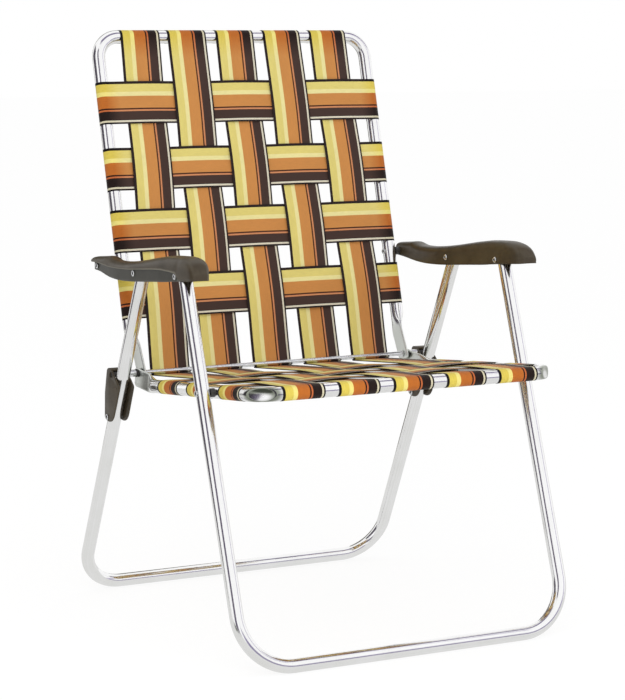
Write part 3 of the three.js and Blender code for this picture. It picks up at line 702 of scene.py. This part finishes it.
def makeFrames():
    legFrame("rear_leg_tube", "rear_leg_frame", armMiddle, rearFoot, tube["rearBend"])
    legFrame("front_leg_tube", "front_leg_frame", armFront, frontFoot, tube["frontBend"])
    pressedFrame("seat_tube", "seat_frame", railKnee, seatBar, tube["railX"], blade["seatX"],
                 tube["seatBend"], inFront(seatAlong), blade["seatDrop"], True)
    pressedFrame("back_tube", "back_frame", backKnee, topBar, tube["uprightX"], blade["backX"],
                 tube["backBend"], inFront(backUp), 0, False)
    print("four tube frames bent")


# Fasteners
rivet = {
    **millimetres(radius=3, head=5, rise=2, seat=0.3, hole=2.3, holeDepth=2.2),
    "lip": ((1, 1.55), (1, 1.15), (0.6, 1)),  # shares of the rise and of the hole
    "floorShare": 0.9,  # of the hole, at its bottom
}
washerRadius = 7 * mm
spacerRadius = 6 * mm
collar = {"radius": 5.8 * mm, "length": 2.5 * mm}
rodRadius = 4 * mm
loose = 0.35 * mm  # between a pin and its ring


# A tubular rivet: rolled heads, each with its hollow
def rivetProfile(low, high):
    head, rise, hole = rivet["head"], rivet["rise"], rivet["hole"]
    low -= rivet["seat"]
    high += rivet["seat"]
    floor = high + rise - rivet["holeDepth"]
    highEnd = [(high, rivet["radius"]), (high, head), (high + rise / 2, head)]
    highEnd += [(high + rise * up, hole * out) for up, out in rivet["lip"]]
    highEnd += [(floor, hole * rivet["floorShare"]), (floor, 0)]
    lowEnd = [(low - (along - high), radius) for along, radius in reversed(highEnd)]
    return rounded(lowEnd + highEnd, 0.5 * mm)


def ringProfile(low, high, inner, outer, soft):
    middle = (low + high) / 2
    outline = [(middle, inner), (low, inner), (low, outer), (high, outer), (high, inner), (middle, inner)]
    return rounded(outline, soft)


def turnedPair(name, node, profile, centre, material, slot):
    for sign in (1, -1):
        bm = bmesh.new()
        # painted shade: the points inside a rivet's hollow are marked for the near-black colour
        hollow = bm.verts.layers.float.new("hollow")
        turned(bm, [(sign * along, radius) for along, radius in profile], centre)
        for vert in bm.verts:
            vert[hollow] = (vert.co - atX(vert.co.x, centre)).length < rivet["hole"] * 1.02
        addPiece(f"{name}_{sideOf(sign)}", bm, material, [f"{node}_{sideOf(sign)}"])


def spanOf(node):
    low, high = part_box(node)
    return low.x, high.x


def makeFasteners():
    black = (blackPlastic, "black_plastic")
    bright = (steel, "steel")
    heads = rivet["rise"] + rivet["seat"]
    for name, pivot in (("link", linkPivot), ("seat_pivot", seatPivot), ("arm_front", armFront),
                        ("arm_middle", armMiddle), ("arm_rear", armBack)):
        low, high = spanOf(name + "_rivet_right")
        profile = rivetProfile(low + heads, high - heads)
        turnedPair(name + "_tubular_rivet", name + "_rivet", profile, pivot, *bright)
    pin = rivet["radius"]
    for name, kind, node, inner, outer, pivot, look in (
            ("hinge_inner", "disc", "washer", rodRadius, washerRadius, rod, black),
            ("hinge_outer", "disc", "washer", rodRadius, washerRadius, rod, black),
            ("hinge", "sleeve", "spacer", rodRadius, spacerRadius, rod, bright),
            ("seat_pivot", "sleeve", "spacer", pin, washerRadius, seatPivot, black),
            ("arm_rear", "sleeve", "spacer", pin, washerRadius, armBack, black)):
        node = f"{name}_{node}"
        profile = ringProfile(*spanOf(node + "_right"), inner + loose, outer, 0.6 * mm)
        turnedPair(f"{name}_{kind}", node, profile, pivot, *look)
    makeRod()
    low, high = spanOf("link_pin_right")
    pin = link["pinHole"] - loose
    floor = high - link["pinSunk"]
    profile = rounded([(low, 0), (low, pin), (high, pin), (high, pin * 0.6), (floor, pin * 0.5), (floor, 0)],
                      0.4 * mm)
    turnedPair("link_stud", "link_pin", profile, rod, *black)
    print("rivets, washers, sleeves and the rod turned")


def makeRod():
    high = spanOf("hinge_rod")[1]
    inner = blade["backX"] - blade["halfThickness"] - rivet["seat"]
    end = [(inner - collar["length"], rodRadius), (inner - collar["length"], collar["radius"]),
           (inner, collar["radius"]), (inner, rodRadius), (high, rodRadius), (high, 0)]
    bm = bmesh.new()
    turned(bm, rounded([(-x, r) for x, r in reversed(end)] + end, 0.5 * mm), atX(0, rod))
    addPiece("hinge_rod_bar", bm, steel, ["hinge_rod"])


# Links, drawn up from the lower pivot. Each corner: the share of the way up to the rod and the mm
# beyond it, the mm to the front, and its rounding in mm
link = {
    "corners": [
        (0, -6.2, -10, 8),
        (0, -6.2, 21.5, 26),
        (1, -10, 35, 6),
        (1, 9.9, -4, 9),
        (1, 5.9, -18.5, 9),
        (0.5, 0, -18.5, 45),
    ],
    **millimetres(plate=2.5, gap=0.5, edge=0.7, pinHole=4.9, pinSunk=1.2, pipRadius=2, pipRise=0.8),
    "cornerSteps": 8,
    "webSunk": 1.5 * mm,  # into each plate
    "webFrom": 5.55 * mm,  # above the rod
    "webDrop": 4 * mm,  # below it
    "webEnd": 1 * mm,  # behind it
    "webBack": 16 * mm,  # behind it, where the back wall begins
    "pipDrop": 15.5 * mm,
    "pipFront": 24 * mm,
    "pinRim": ((-1.6, 0), (0.1, 0), (0.45, 0.5), (0.45, 1.2), (-0.3, 1.9), (-1.6, 1.9), (-1.6, 0)),  # mm out
    "pipDome": ((-1, 0), (-1, 1), (0.2, 1), (0.75, 0.75), (1, 0)),  # shares of its rise and radius
}


def linkOutline():
    corners = [Vector((share * linkLength + up * mm, front * mm)) for share, up, front, _ in link["corners"]]
    outline = []
    for before, corner, after, row in zip(corners[-1:] + corners, corners, corners[1:] + corners[:1],
                                          link["corners"]):
        before, after = ((p - corner).normalized() for p in (before, after))
        reach = row[3] * mm / tan(before.angle(after) / 2)
        outline += cornerCurve(corner + before * reach, corner, corner + after * reach, link["cornerSteps"])
    return outline


def linkPoint(up, front, x):
    return linkPivot + linkUp * up + inFront(linkUp) * front + right * x


# A plate of the given outlines from one X to another, the later ones holes in it, its edges softened
def plate(outlines, fromX, toX, edge):
    slab = bmesh.new()
    rims = []
    for outline in outlines:
        verts = [slab.verts.new(linkPoint(up, front, fromX)) for up, front in outline]
        rims += [slab.edges.new(pair) for pair in pairsOf(verts, closed=True)]
    bmesh.ops.triangle_fill(slab, use_beauty=True, use_dissolve=False, edges=rims)
    grown = bmesh.ops.extrude_face_region(slab, geom=slab.faces[:], use_keep_orig=True)
    bmesh.ops.translate(slab, verts=vertsOf(grown), vec=right * (toX - fromX))
    bmesh.ops.dissolve_limit(slab, angle_limit=0.01, verts=slab.verts, edges=slab.edges)
    rims = [e for e in slab.edges if abs(e.verts[0].co.x - e.verts[1].co.x) < 0.01 * mm
            and len(e.link_faces) == 2 and e.calc_face_angle() > 0.5]
    if edge:
        bmesh.ops.bevel(slab, geom=rims, offset=edge, offset_type="OFFSET", affect="EDGES", segments=3,
                        profile=0.5, material=-1, clamp_overlap=True)
    return slab


def addTo(bm, other):
    mesh = bpy.data.meshes.new("joined")
    other.to_mesh(mesh)
    other.free()
    bm.from_mesh(mesh)
    bpy.data.meshes.remove(mesh)


def circle(up, front, radius, steps=28):
    angles = [2 * pi * i / steps for i in range(steps)]
    return [(up + radius * cos(a), front + radius * sin(a)) for a in angles]


def makeLink(sign):
    wall = tube["radius"] + link["gap"] + link["plate"]
    inner = tube["legX"] - wall
    outer = tube["legX"] + wall
    bm = bmesh.new()
    outline = linkOutline()
    for low in (inner, outer - link["plate"]):
        outlines = [outline, circle(linkLength, 0, link["pinHole"])]
        addTo(bm, plate(outlines, low, low + link["plate"], link["edge"]))
    addLinkWeb(bm, outline, inner + link["webSunk"], outer - link["webSunk"])
    dome = [(out * link["pipRise"], wide * link["pipRadius"]) for out, wide in link["pipDome"]]
    pipAt = linkPoint(linkLength - link["pipDrop"], link["pipFront"], outer)
    turned(bm, rounded(dome, 0.4 * mm), pipAt, steps=20)
    rim = [(out * mm, link["pinHole"] + wide * mm) for out, wide in link["pinRim"]]
    turned(bm, rim, linkPoint(linkLength, 0, outer))
    if sign < 0:
        bmesh.ops.scale(bm, vec=(-1, 1, 1), verts=bm.verts)
    side = sideOf(sign)
    addPiece(f"link_moulding_{side}", bm, mouldedPlastic, [f"link_{side}"])


# The web that joins the two plates: the outline's head and back edge, between the plates
def addLinkWeb(bm, outline, fromX, toX):
    front = inFront(linkUp)
    headFrom = linkPoint(linkLength + link["webFrom"], 0, 0)
    for planes in (
            [(headFrom, -linkUp), (linkPoint(0, -link["webEnd"], 0), front)],
            [(linkPoint(linkLength - link["webDrop"], 0, 0), -linkUp), (headFrom, linkUp),
             (linkPoint(0, -link["webBack"], 0), front)]):
        slab = plate([outline], fromX, toX, 0)
        for place, away in planes:
            cutGeom = slab.verts[:] + slab.edges[:] + slab.faces[:]
            cut = bmesh.ops.bisect_plane(slab, geom=cutGeom, plane_co=place, plane_no=away, clear_outer=True)
            rim = [item for item in cut["geom_cut"] if isinstance(item, bmesh.types.BMEdge)]
            bmesh.ops.edgenet_fill(slab, edges=rim)
        addTo(bm, slab)


# Armrests. Each row: share of the length, crown and skirt as shares of their heights, the step's
# height as a share of the crown, and the half widths inwards, outwards and at the recessed side
arm = {
    **millimetres(rearReach=11.7, frontReach=69.5, crown=32, skirt=18, halfWidth=21, wall=2.6, lip=1.2),
    "flatDrop": 0.05, "rearCrease": 0.6,
    "shoulder": 0.24,  # below the top, as a share of the whole height
    "flatShare": 0.62,  # of the half width, across the top
    "recessShare": 0.09,  # of the half width: where the recessed side counts as a panel and takes the painted shade
    "ledgeFrom": 7, "panelFrom": 9,  # points of the section
    "creases": ((0, 0.8), (7, 0.7), (8, 0.4), (9, 0.7), (11, 0.8)),  # point of the section, crease
}
armSectionShares = [
    [0, 0.46, -0.38, 0.19, 0.76, 0.8, 0.5],
    [0.05, 0.5, -0.48, 0.19, 0.786, 0.83, 0.5],
    [0.09, 0.53, -0.59, 0.16, 0.786, 0.83, 0.57],
    [0.12, 0.56, -0.68, 0.12, 0.79, 0.84, 0.63],
    [0.138, 0.54, -0.74, 0.1, 0.8, 0.85, 0.67],
    [0.185, 0.4, -0.87, 0.05, 0.815, 0.87, 0.75],
    [0.24, 0.375, -0.96, 0.035, 0.83, 0.9, 0.8],
    [0.29, 0.38, -1, 0.03, 0.845, 0.92, 0.83],
    [0.39, 0.46, -0.98, 0.05, 0.857, 0.97, 0.857],
    [0.505, 0.61, -0.86, 0.13, 0.857, 1, 0.857],
    [0.62, 0.8, -0.72, 0.21, 0.857, 1, 0.857],
    [0.7, 0.91, -0.63, 0.24, 0.857, 1, 0.857],
    [0.75, 0.97, -0.56, 0.22, 0.857, 1, 0.857],
    [0.785, 0.99, -0.49, 0.205, 0.857, 1, 0.857],
    [0.815, 1, -0.445, 0.178, 0.857, 1, 0.857],
    [0.839, 1.007, -0.405, 0.152, 0.857, 1, 0.857],
    [0.853, 1.01, -0.385, 0.02, 0.857, 1, 0.88],
    [0.872, 1.01, -0.36, -0.2, 0.857, 1.01, 1],
    [0.9, 1, -0.32, -0.2, 0.86, 1.02, 1.02],
    [0.945, 0.9, -0.27, -0.2, 0.76, 1.02, 1.02],
    [0.978, 0.66, -0.24, -0.2, 0.55, 1, 1],
    [1, 0.25, -0.2, -0.2, 0.2, 0.9, 0.9],
]


def armProfile(row):
    _, crown, skirt, step, inner, outer, panel = row
    top = crown * arm["crown"]
    low = skirt * arm["skirt"]
    lip = arm["lip"]
    ledge = max(step * arm["crown"], low + 2 * lip)
    shoulder = top - arm["shoulder"] * (top - low)
    edge = top * (1 - arm["flatDrop"])
    inner, outer, panel = (share * arm["halfWidth"] for share in (inner, outer, panel))
    haunch = (shoulder + low) / 2
    return [(-inner, low), (-inner, haunch), (-inner, shoulder), (-arm["flatShare"] * inner, edge), (0, top),
            (arm["flatShare"] * outer, edge), (outer, shoulder), (outer, ledge + lip),
            (outer - 0.4 * lip, ledge), (panel, ledge - 0.3 * lip), (panel, ledge - 1.6 * lip), (panel, low)]


def curveThrough(before, a, b, after, share):
    cube, square = share ** 3, share ** 2
    return [0.5 * (2 * q + (r - p) * share + (2 * p - 5 * q + 4 * r - s) * square
                   + (3 * q - p - 3 * r + s) * cube) for p, q, r, s in zip(before, a, b, after)]


# The rows with more between them, so that the arm's long curves run smoothly
def finerRows(rows, steps):
    result = []
    for i, (a, b) in enumerate(zip(rows, rows[1:])):
        before = rows[max(i - 1, 0)]
        after = rows[min(i + 2, len(rows) - 1)]
        result += [curveThrough(before, a, b, after, j / steps) for j in range(steps)]
    return result + [rows[-1]]


def armSection(row, length):
    start = armBack + armLine * (row[0] * length - arm["rearReach"])
    return [atX(tube["legX"] + x, start + armUp * up) for x, up in armProfile(row)]


def makeArmrest(sign):
    length = (armFront - armBack).length + arm["rearReach"] + arm["frontReach"]
    rows = finerRows(armSectionShares, 3)
    bm = bmesh.new()
    panel, ledge = (bm.verts.layers.float.new(name) for name in ("panel", "ledge"))
    chains = growRows(bm, [armSection(row, length) for row in rows])
    for chain, row in zip(chains, rows):
        recess = smooth((row[5] - row[6]) / arm["recessShare"])
        # painted shade on the recessed side below the ledge
        for vert in chain[arm["panelFrom"]:]:
            vert[panel] = recess
        # painted highlight along the ledge
        for vert in chain[arm["ledgeFrom"]:arm["panelFrom"]]:
            vert[ledge] = recess
    for chain in (chains[0], chains[-1]):  # flat end walls, between the two sides of the section
        far = chain[::-1]
        for i in range(len(chain) // 2 - 1):
            bm.faces.new((chain[i], chain[i + 1], far[i + 1], far[i]))
    bmesh.ops.recalc_face_normals(bm, faces=bm.faces)
    top = max(bm.faces, key=lambda face: face.calc_center_median().z)
    if top.normal.z < 0:
        bmesh.ops.reverse_faces(bm, faces=bm.faces)
    crease = bm.edges.layers.float.new("crease_edge")
    for chain, following in zip(chains, chains[1:]):
        for index, weight in arm["creases"]:
            bm.edges.get((chain[index], following[index]))[crease] = weight
    for pair in pairsOf(chains[0]):
        bm.edges.get(pair)[crease] = arm["rearCrease"]
    if sign < 0:
        bmesh.ops.scale(bm, vec=(-1, 1, 1), verts=bm.verts)
        bmesh.ops.reverse_faces(bm, faces=bm.faces)
    side = sideOf(sign)
    piece = makeObject(f"armrest_moulding_{side}", bm, mouldedPlastic)
    wall = piece.modifiers.new("wall", "SOLIDIFY")
    wall.thickness = arm["wall"]
    wall.offset = -1
    wall.use_even_offset = True
    wall.thickness_clamp = 1.5
    wall.edge_crease_rim = 0.85
    soft = piece.modifiers.new("soft", "SUBSURF")
    soft.levels = soft.render_levels = 2
    tie(piece, [f"armrest_{side}"])


# Webbing
strap = {
    **millimetres(width=73, thickness=1.1, seat=0.3, wave=2.2),
    # The long straps at each end, in mm: pitch, shift of the middle one, inset of the leftmost
    "spread": {"top": (92, -3, 4), "rod": (96.5, -5, 0), "front": (96.5, 0, 0)},
    "count": 5, "waveSteps": 12, "wrapSteps": 30, "rodSteps": 12, "acrossSteps": 10,
    "backCrossShares": [0.796, 0.597, 0.412, 0.2165],
    "seatCrossShares": [0.1873, 0.4407, 0.6807],
    "wrapTurn": radians(250),
}
half = strap["thickness"] / 2
stripLift = tube["radius"] + strap["seat"] + half
rodLift = rodRadius + strap["seat"] + half


# Both halves of the webbing: where each begins, the way along and up from it, its length, its two ends,
# which of them has the bar, which way its cross straps weave, and its tubes
webbed = {
    "back": {"origin": backFoot, "along": backUp, "up": inFront(backUp), "length": (topBar - backFoot).length,
             "ends": ("rod", "top"), "bar": 1, "side": 1, "tubeX": tube["uprightX"]},
    "seat": {"origin": seatBar, "along": seatAlong, "up": inFront(seatAlong),
             "length": (rod - seatBar).dot(seatAlong),
             "ends": ("front", "rod"), "bar": 0, "side": -1, "tubeX": tube["railX"]},
}


def strapX(end, k):
    pitch, shift, inset = strap["spread"][end]
    return (shift + (k - (strap["count"] - 1) / 2) * pitch + (inset if k == 0 else 0)) * mm


def waveAt(part, k, j):  # how far the long strap k rises where it meets the cross strap j
    return webbed[part]["side"] * strap["wave"] * (1 if (k + j) % 2 == 1 else -1)


def longX(part, k, share):
    near, far = (strapX(end, k) for end in webbed[part]["ends"])
    return mixed(near, far, min(max(share, 0), 1))


# A path's points are (along, up, backed): backed is 1 where a tube lies behind the strap, and there the strap
# takes painted shade
def wrapPoints(centre, fromAngle, toAngle):
    angles = [mixed(fromAngle, toAngle, i / strap["wrapSteps"]) for i in range(strap["wrapSteps"] + 1)]
    radius = stripLift - half
    return [(centre + radius * sin(a), radius * cos(a), 1.0) for a in angles]


def easeTo(points, target, steps=strap["waveSteps"]):
    along, up, backed = points[-1]
    for i in range(1, steps + 1):
        share = i / steps
        rise = (1 - cos(pi * share)) / 2
        near = max(0, 1 - 3 * share) * backed + max(0, 3 * share - 2) * target[2]
        points.append((mixed(along, target[0], share), mixed(up, target[1], rise), near))


# The sheet: a row of points across it at each base, joined up and thickened
def addStrap(name, bases, backings, reached, across, nodes, rests):
    bm = bmesh.new()
    surface = bm.loops.layers.uv.new("surface")
    backed = bm.verts.layers.float.new("backed")
    shares = [j / strap["acrossSteps"] for j in range(strap["acrossSteps"] + 1)]
    rows = [[base + across * ((share - 0.5) * strap["width"]) for share in shares] for base in bases]
    place = {}
    for verts, near, distance in zip(growRows(bm, rows), backings, reached):
        for vert, share in zip(verts, shares):
            vert[backed] = near
            place[vert] = (share, distance)
    for face in bm.faces:
        for loop in face.loops:
            loop[surface].uv = place[loop.vert]
    bmesh.ops.recalc_face_normals(bm, faces=bm.faces)
    bmesh.ops.solidify(bm, geom=bm.faces[:], thickness=strap["thickness"])
    bmesh.ops.recalc_face_normals(bm, faces=bm.faces)
    piece = makeObject(name, bm, webbing, 50)
    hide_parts(*nodes)
    return piece


# Half a long strap, from its end under the bar to the rod, as (place, X, backed)
def longHalf(part, k):
    panel = webbed[part]
    origin, along, up, length, side = (panel[key] for key in ("origin", "along", "up", "length", "side"))
    path = wrapPoints(panel["bar"] * length, side * strap["wrapTurn"], 0)
    for j, share in enumerate(strap[part + "CrossShares"]):
        easeTo(path, (share * length, stripLift - half + waveAt(part, k, j), 0.0))
    toRod = rod - origin
    easeTo(path, (toRod.dot(along), toRod.dot(up) - rodLift - half, 0.0), 2 * strap["waveSteps"])
    return [(origin + along * a + up * u, longX(part, k, a / length), near) for a, u, near in path]


# A long strap: round the top bar, down the back, round behind and under the rod, along the seat and
# round the front bar
def longStrap(k):
    points = longHalf("back", k)
    seatPoints = longHalf("seat", k)
    start, end = points[-1][0], seatPoints[-1][0]
    fromAngle, toAngle = (atan2(p.z - rod.z, p.y - rod.y) for p in (start, end))
    for i in range(1, strap["rodSteps"]):
        angle = mixed(fromAngle, toAngle, i / strap["rodSteps"])
        around = Vector((0, cos(angle), sin(angle))) * (rodLift + half)
        # half the painted shade where the rod lies behind the strap
        points.append((rod + around, strapX("rod", k), 0.5))
    places, sideways, backings = zip(*points, *reversed(seatPoints))
    reached = runningLength((a - b).length for a, b in zip(places, places[1:]))
    bases = [atX(x, place) for x, place in zip(sideways, places)]
    nodes = [f"back_strip_{k + 1}", f"seat_strip_{k + 1}"]
    piece = addStrap(f"webbing_long_{k + 1}", bases, backings, reached, right, nodes,
                     ["back_tube", "seat_tube", "hinge_rod_bar"])
    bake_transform(piece)


# A cross strap: round one tube, under and over the long straps, and round the other tube
def crossStrap(part, j, share):
    panel = webbed[part]
    low = stripLift - half
    path = wrapPoints(-panel["tubeX"], -strap["wrapTurn"], 0)
    for k in range(strap["count"]):
        easeTo(path, (longX(part, k, share), low - waveAt(part, k, j), 0.0))
    easeTo(path, (panel["tubeX"], low, 1.0))
    path += wrapPoints(panel["tubeX"], 0, strap["wrapTurn"])[1:]
    middle = panel["origin"] + panel["along"] * share * panel["length"]
    bases = [atX(x, middle + panel["up"] * rise) for x, rise, _ in path]
    reached = runningLength(dist(a[:2], b[:2]) for a, b in zip(path, path[1:]))
    node = f"{part}_cross_strip_{j + 1}"
    piece = addStrap(f"webbing_{part}_{j + 1}", bases, [near for _, _, near in path], reached,
                     -panel["along"], [node], [part + "_tube"])
    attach(piece, bodyOf[node])


def makeWebbingStraps():
    for k in range(strap["count"]):
        longStrap(k)
    for part in webbed:
        for j, share in enumerate(strap[part + "CrossShares"]):
            crossStrap(part, j, share)
    print("twelve straps woven")


# Screws with cup washers hold the folded ends of the straps under the tubes
screw = {
    **millimetres(washer=5, washerRise=0.6, head=3.1, headRise=1.2, recess=0.8),
    "recessShare": 0.36,
    "turn": radians(227),  # round the tube from the strap's upper side
    "sink": 0.4 * mm,  # into the strap
    "dome": ((0, 1), (0, 0.96), (0.6, 0.8), (1, 0.45)),  # shares of the head's rise and radius
}


def screwProfile():
    top = screw["washerRise"] + screw["headRise"]
    profile = [(-screw["sink"], 0), (-screw["sink"], screw["washer"]), (0, screw["washer"])]
    profile += [(mixed(screw["washerRise"], top, up), screw["head"] * out) for up, out in screw["dome"]]
    floor = top - screw["recess"]
    return profile + [(floor, screw["head"] * screw["recessShare"]), (floor, 0)]


def makeScrews():
    profile = rounded(screwProfile(), 0.35 * mm)
    for part, panel in webbed.items():
        origin, along, length = panel["origin"], panel["along"], panel["length"]
        bar = origin + along * panel["bar"] * length
        barEnd = panel["ends"][panel["bar"]]
        places = [(atX(strapX(barEnd, k), bar), along * panel["side"]) for k in range(strap["count"])]
        for sign in (1, -1):
            places += [(atX(sign * panel["tubeX"], origin + along * share * length), right * sign)
                       for share in strap[part + "CrossShares"]]
        bm = bmesh.new()
        for middle, out in places:  # round the tube's middle, from the upper side towards the outer one
            away = out * sin(screw["turn"]) + panel["up"] * cos(screw["turn"])
            turned(bm, profile, middle + away * (stripLift + half), away, 20)
        addPiece(f"webbing_screws_{part}", bm, steel, body=part)
    print("screws set under the ends of the straps")


# Studio: pale floor, soft lamps, and panels that only the metal sees
studio = {
    "floorHalf": 20,
    "floorColour": (0.86, 0.86, 0.86),
    "floorLevel": -0.4 * mm,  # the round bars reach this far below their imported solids
    "floorGlow": 1.06,
    "glowShare": 0.8,
    "mirroredFloor": (0.76, 0.76, 0.75),  # as the metal sees it
    "worldStrength": 0.83,
    "aim": (0, 0, 0.5),
    # Lamps: name, place, size, power
    "lamps": [
        ("key", (-2.6, -2.6, 3.4), 2.4, 28),
        ("fill", (3.2, -2.2, 2.2), 2.0, 12),
        ("low", (-0.5, -1.6, 0.62), 1.0, 7.5),
    ],
    "cameraBearing": -90 - 61.4,  # of the camera seen from the chair, from straight ahead
    # Upright panels: degrees to the left of the camera, width in degrees, distance, height, colour
    "uprightPanels": [
        (19, 24, 4.0, 5.0, (0.12, 0.1, 0.15)),
        (91, 44, 2.0, 2.2, (0.09, 0.08, 0.1)),
        (157, 34, 2.0, 2.2, (0.15, 0.14, 0.12)),
        (-84, 11, 4.0, 5.0, (0.5, 0.46, 0.6)),
    ],
    # Panels by their corners: one overhead, one in front near the floor, and one on the floor
    "crossPanels": [
        ([(-1, -0.85, 2.85), (4.5, -0.85, 2.85), (4.5, 0.1, 2.85), (-1, 0.1, 2.85)], (0.22, 0.19, 0.3)),
        ([(-0.8, -2.76, 0), (4.5, -2.76, 0), (4.5, -2.76, 0.75), (-0.8, -2.76, 0.75)], (0.3, 0.27, 0.4)),
        ([(-0.62, -0.35, 0.001), (-1.0, -0.95, 0.001), (-2.6, -1.6, 0.001), (-2.6, -0.5, 0.001)],
         (0.15, 0.16, 0.14)),
    ],
}


def makeStageSheet(name, corners, material):
    bm = bmesh.new()
    bm.faces.new([bm.verts.new(p) for p in corners])
    sheet = makeObject(name, bm, material)
    return sheet


def makeFloor():
    shader = newFinish("floor")
    seen, mirrored = shader.rays()
    matt = shader.node("BsdfDiffuse", {}, {"Color": (*studio["floorColour"], 1)})
    bright = shader.glow((1, 1, 1), studio["floorGlow"])
    look = shader.node("MixShader", {}, {0: seen * studio["glowShare"], 1: matt, 2: bright})
    look = shader.node("MixShader", {}, {0: mirrored, 1: look, 2: shader.glow(studio["mirroredFloor"])})
    far = studio["floorHalf"]
    corners = [(x, y, studio["floorLevel"]) for x, y in ((-far, -far), (far, -far), (far, far), (-far, far))]
    makeStageSheet("floor", corners, shader.show(look))


def makeWorld():
    shader = Shader(bpy.data.worlds.new("studio"))
    scene.world = shader.owner
    seen, mirrored = shader.rays()
    plain, shown = (shader.node("Background", {}, {"Color": (1, 1, 1, 1), "Strength": strength})
                    for strength in (studio["worldStrength"], 1.0))
    either = shader.maths("MAXIMUM", seen, mirrored)
    shader.show(shader.node("MixShader", {}, {0: either, 1: plain, 2: shown}), "OutputWorld")


def makePanels():
    panels = [(f"cross_panel_{i}", *panel) for i, panel in enumerate(studio["crossPanels"])]
    for i, (left, width, distance, height, colour) in enumerate(studio["uprightPanels"]):
        angle = radians(studio["cameraBearing"] + left)
        towards = Vector((sin(angle), cos(angle), 0))
        across = Vector((towards.y, -towards.x, 0)) * distance * tan(radians(width / 2))
        low = towards * distance
        high = low + Vector((0, 0, height))
        corners = [low - across, low + across, high + across, high - across]
        panels.append((f"upright_panel_{i}", corners, colour))
    for name, corners, colour in panels:
        shader = newFinish(name)
        panel = makeStageSheet(name, corners, shader.show(shader.glow(colour)))
        panel.visible_camera = False
        panel.visible_diffuse = False
        panel.visible_shadow = False


def makeLamp(name, place, size, power):
    lamp = bpy.data.objects.new(name, bpy.data.lights.new(name, "AREA"))
    lamp.data.shape = "SQUARE"
    lamp.data.size = size
    lamp.data.energy = power
    lamp.location = place
    towards = Vector(studio["aim"]) - lamp.location
    lamp.rotation_euler = towards.to_track_quat("-Z", "Y").to_euler()
    lamp.visible_glossy = False
    lamp.visible_camera = False
    scene.collection.objects.link(lamp)


def makeStudio():
    makeFloor()
    makeWorld()
    makePanels()
    for lamp in studio["lamps"]:
        makeLamp(*lamp)
    scene.view_settings.view_transform = "Standard"
    print("studio lit")


makeCamera()
tubeMetal = makeTubeMetal()
steel = makeSteel()
blackPlastic = makeBlackPlastic()
mouldedPlastic = makeMouldedPlastic()
webbing = makeWebbing()
makeFrames()
makeFasteners()
for side in (1, -1):
    makeLink(side)
    makeArmrest(side)
print("links and armrests moulded")
makeWebbingStraps()
makeScrews()
makeStudio()
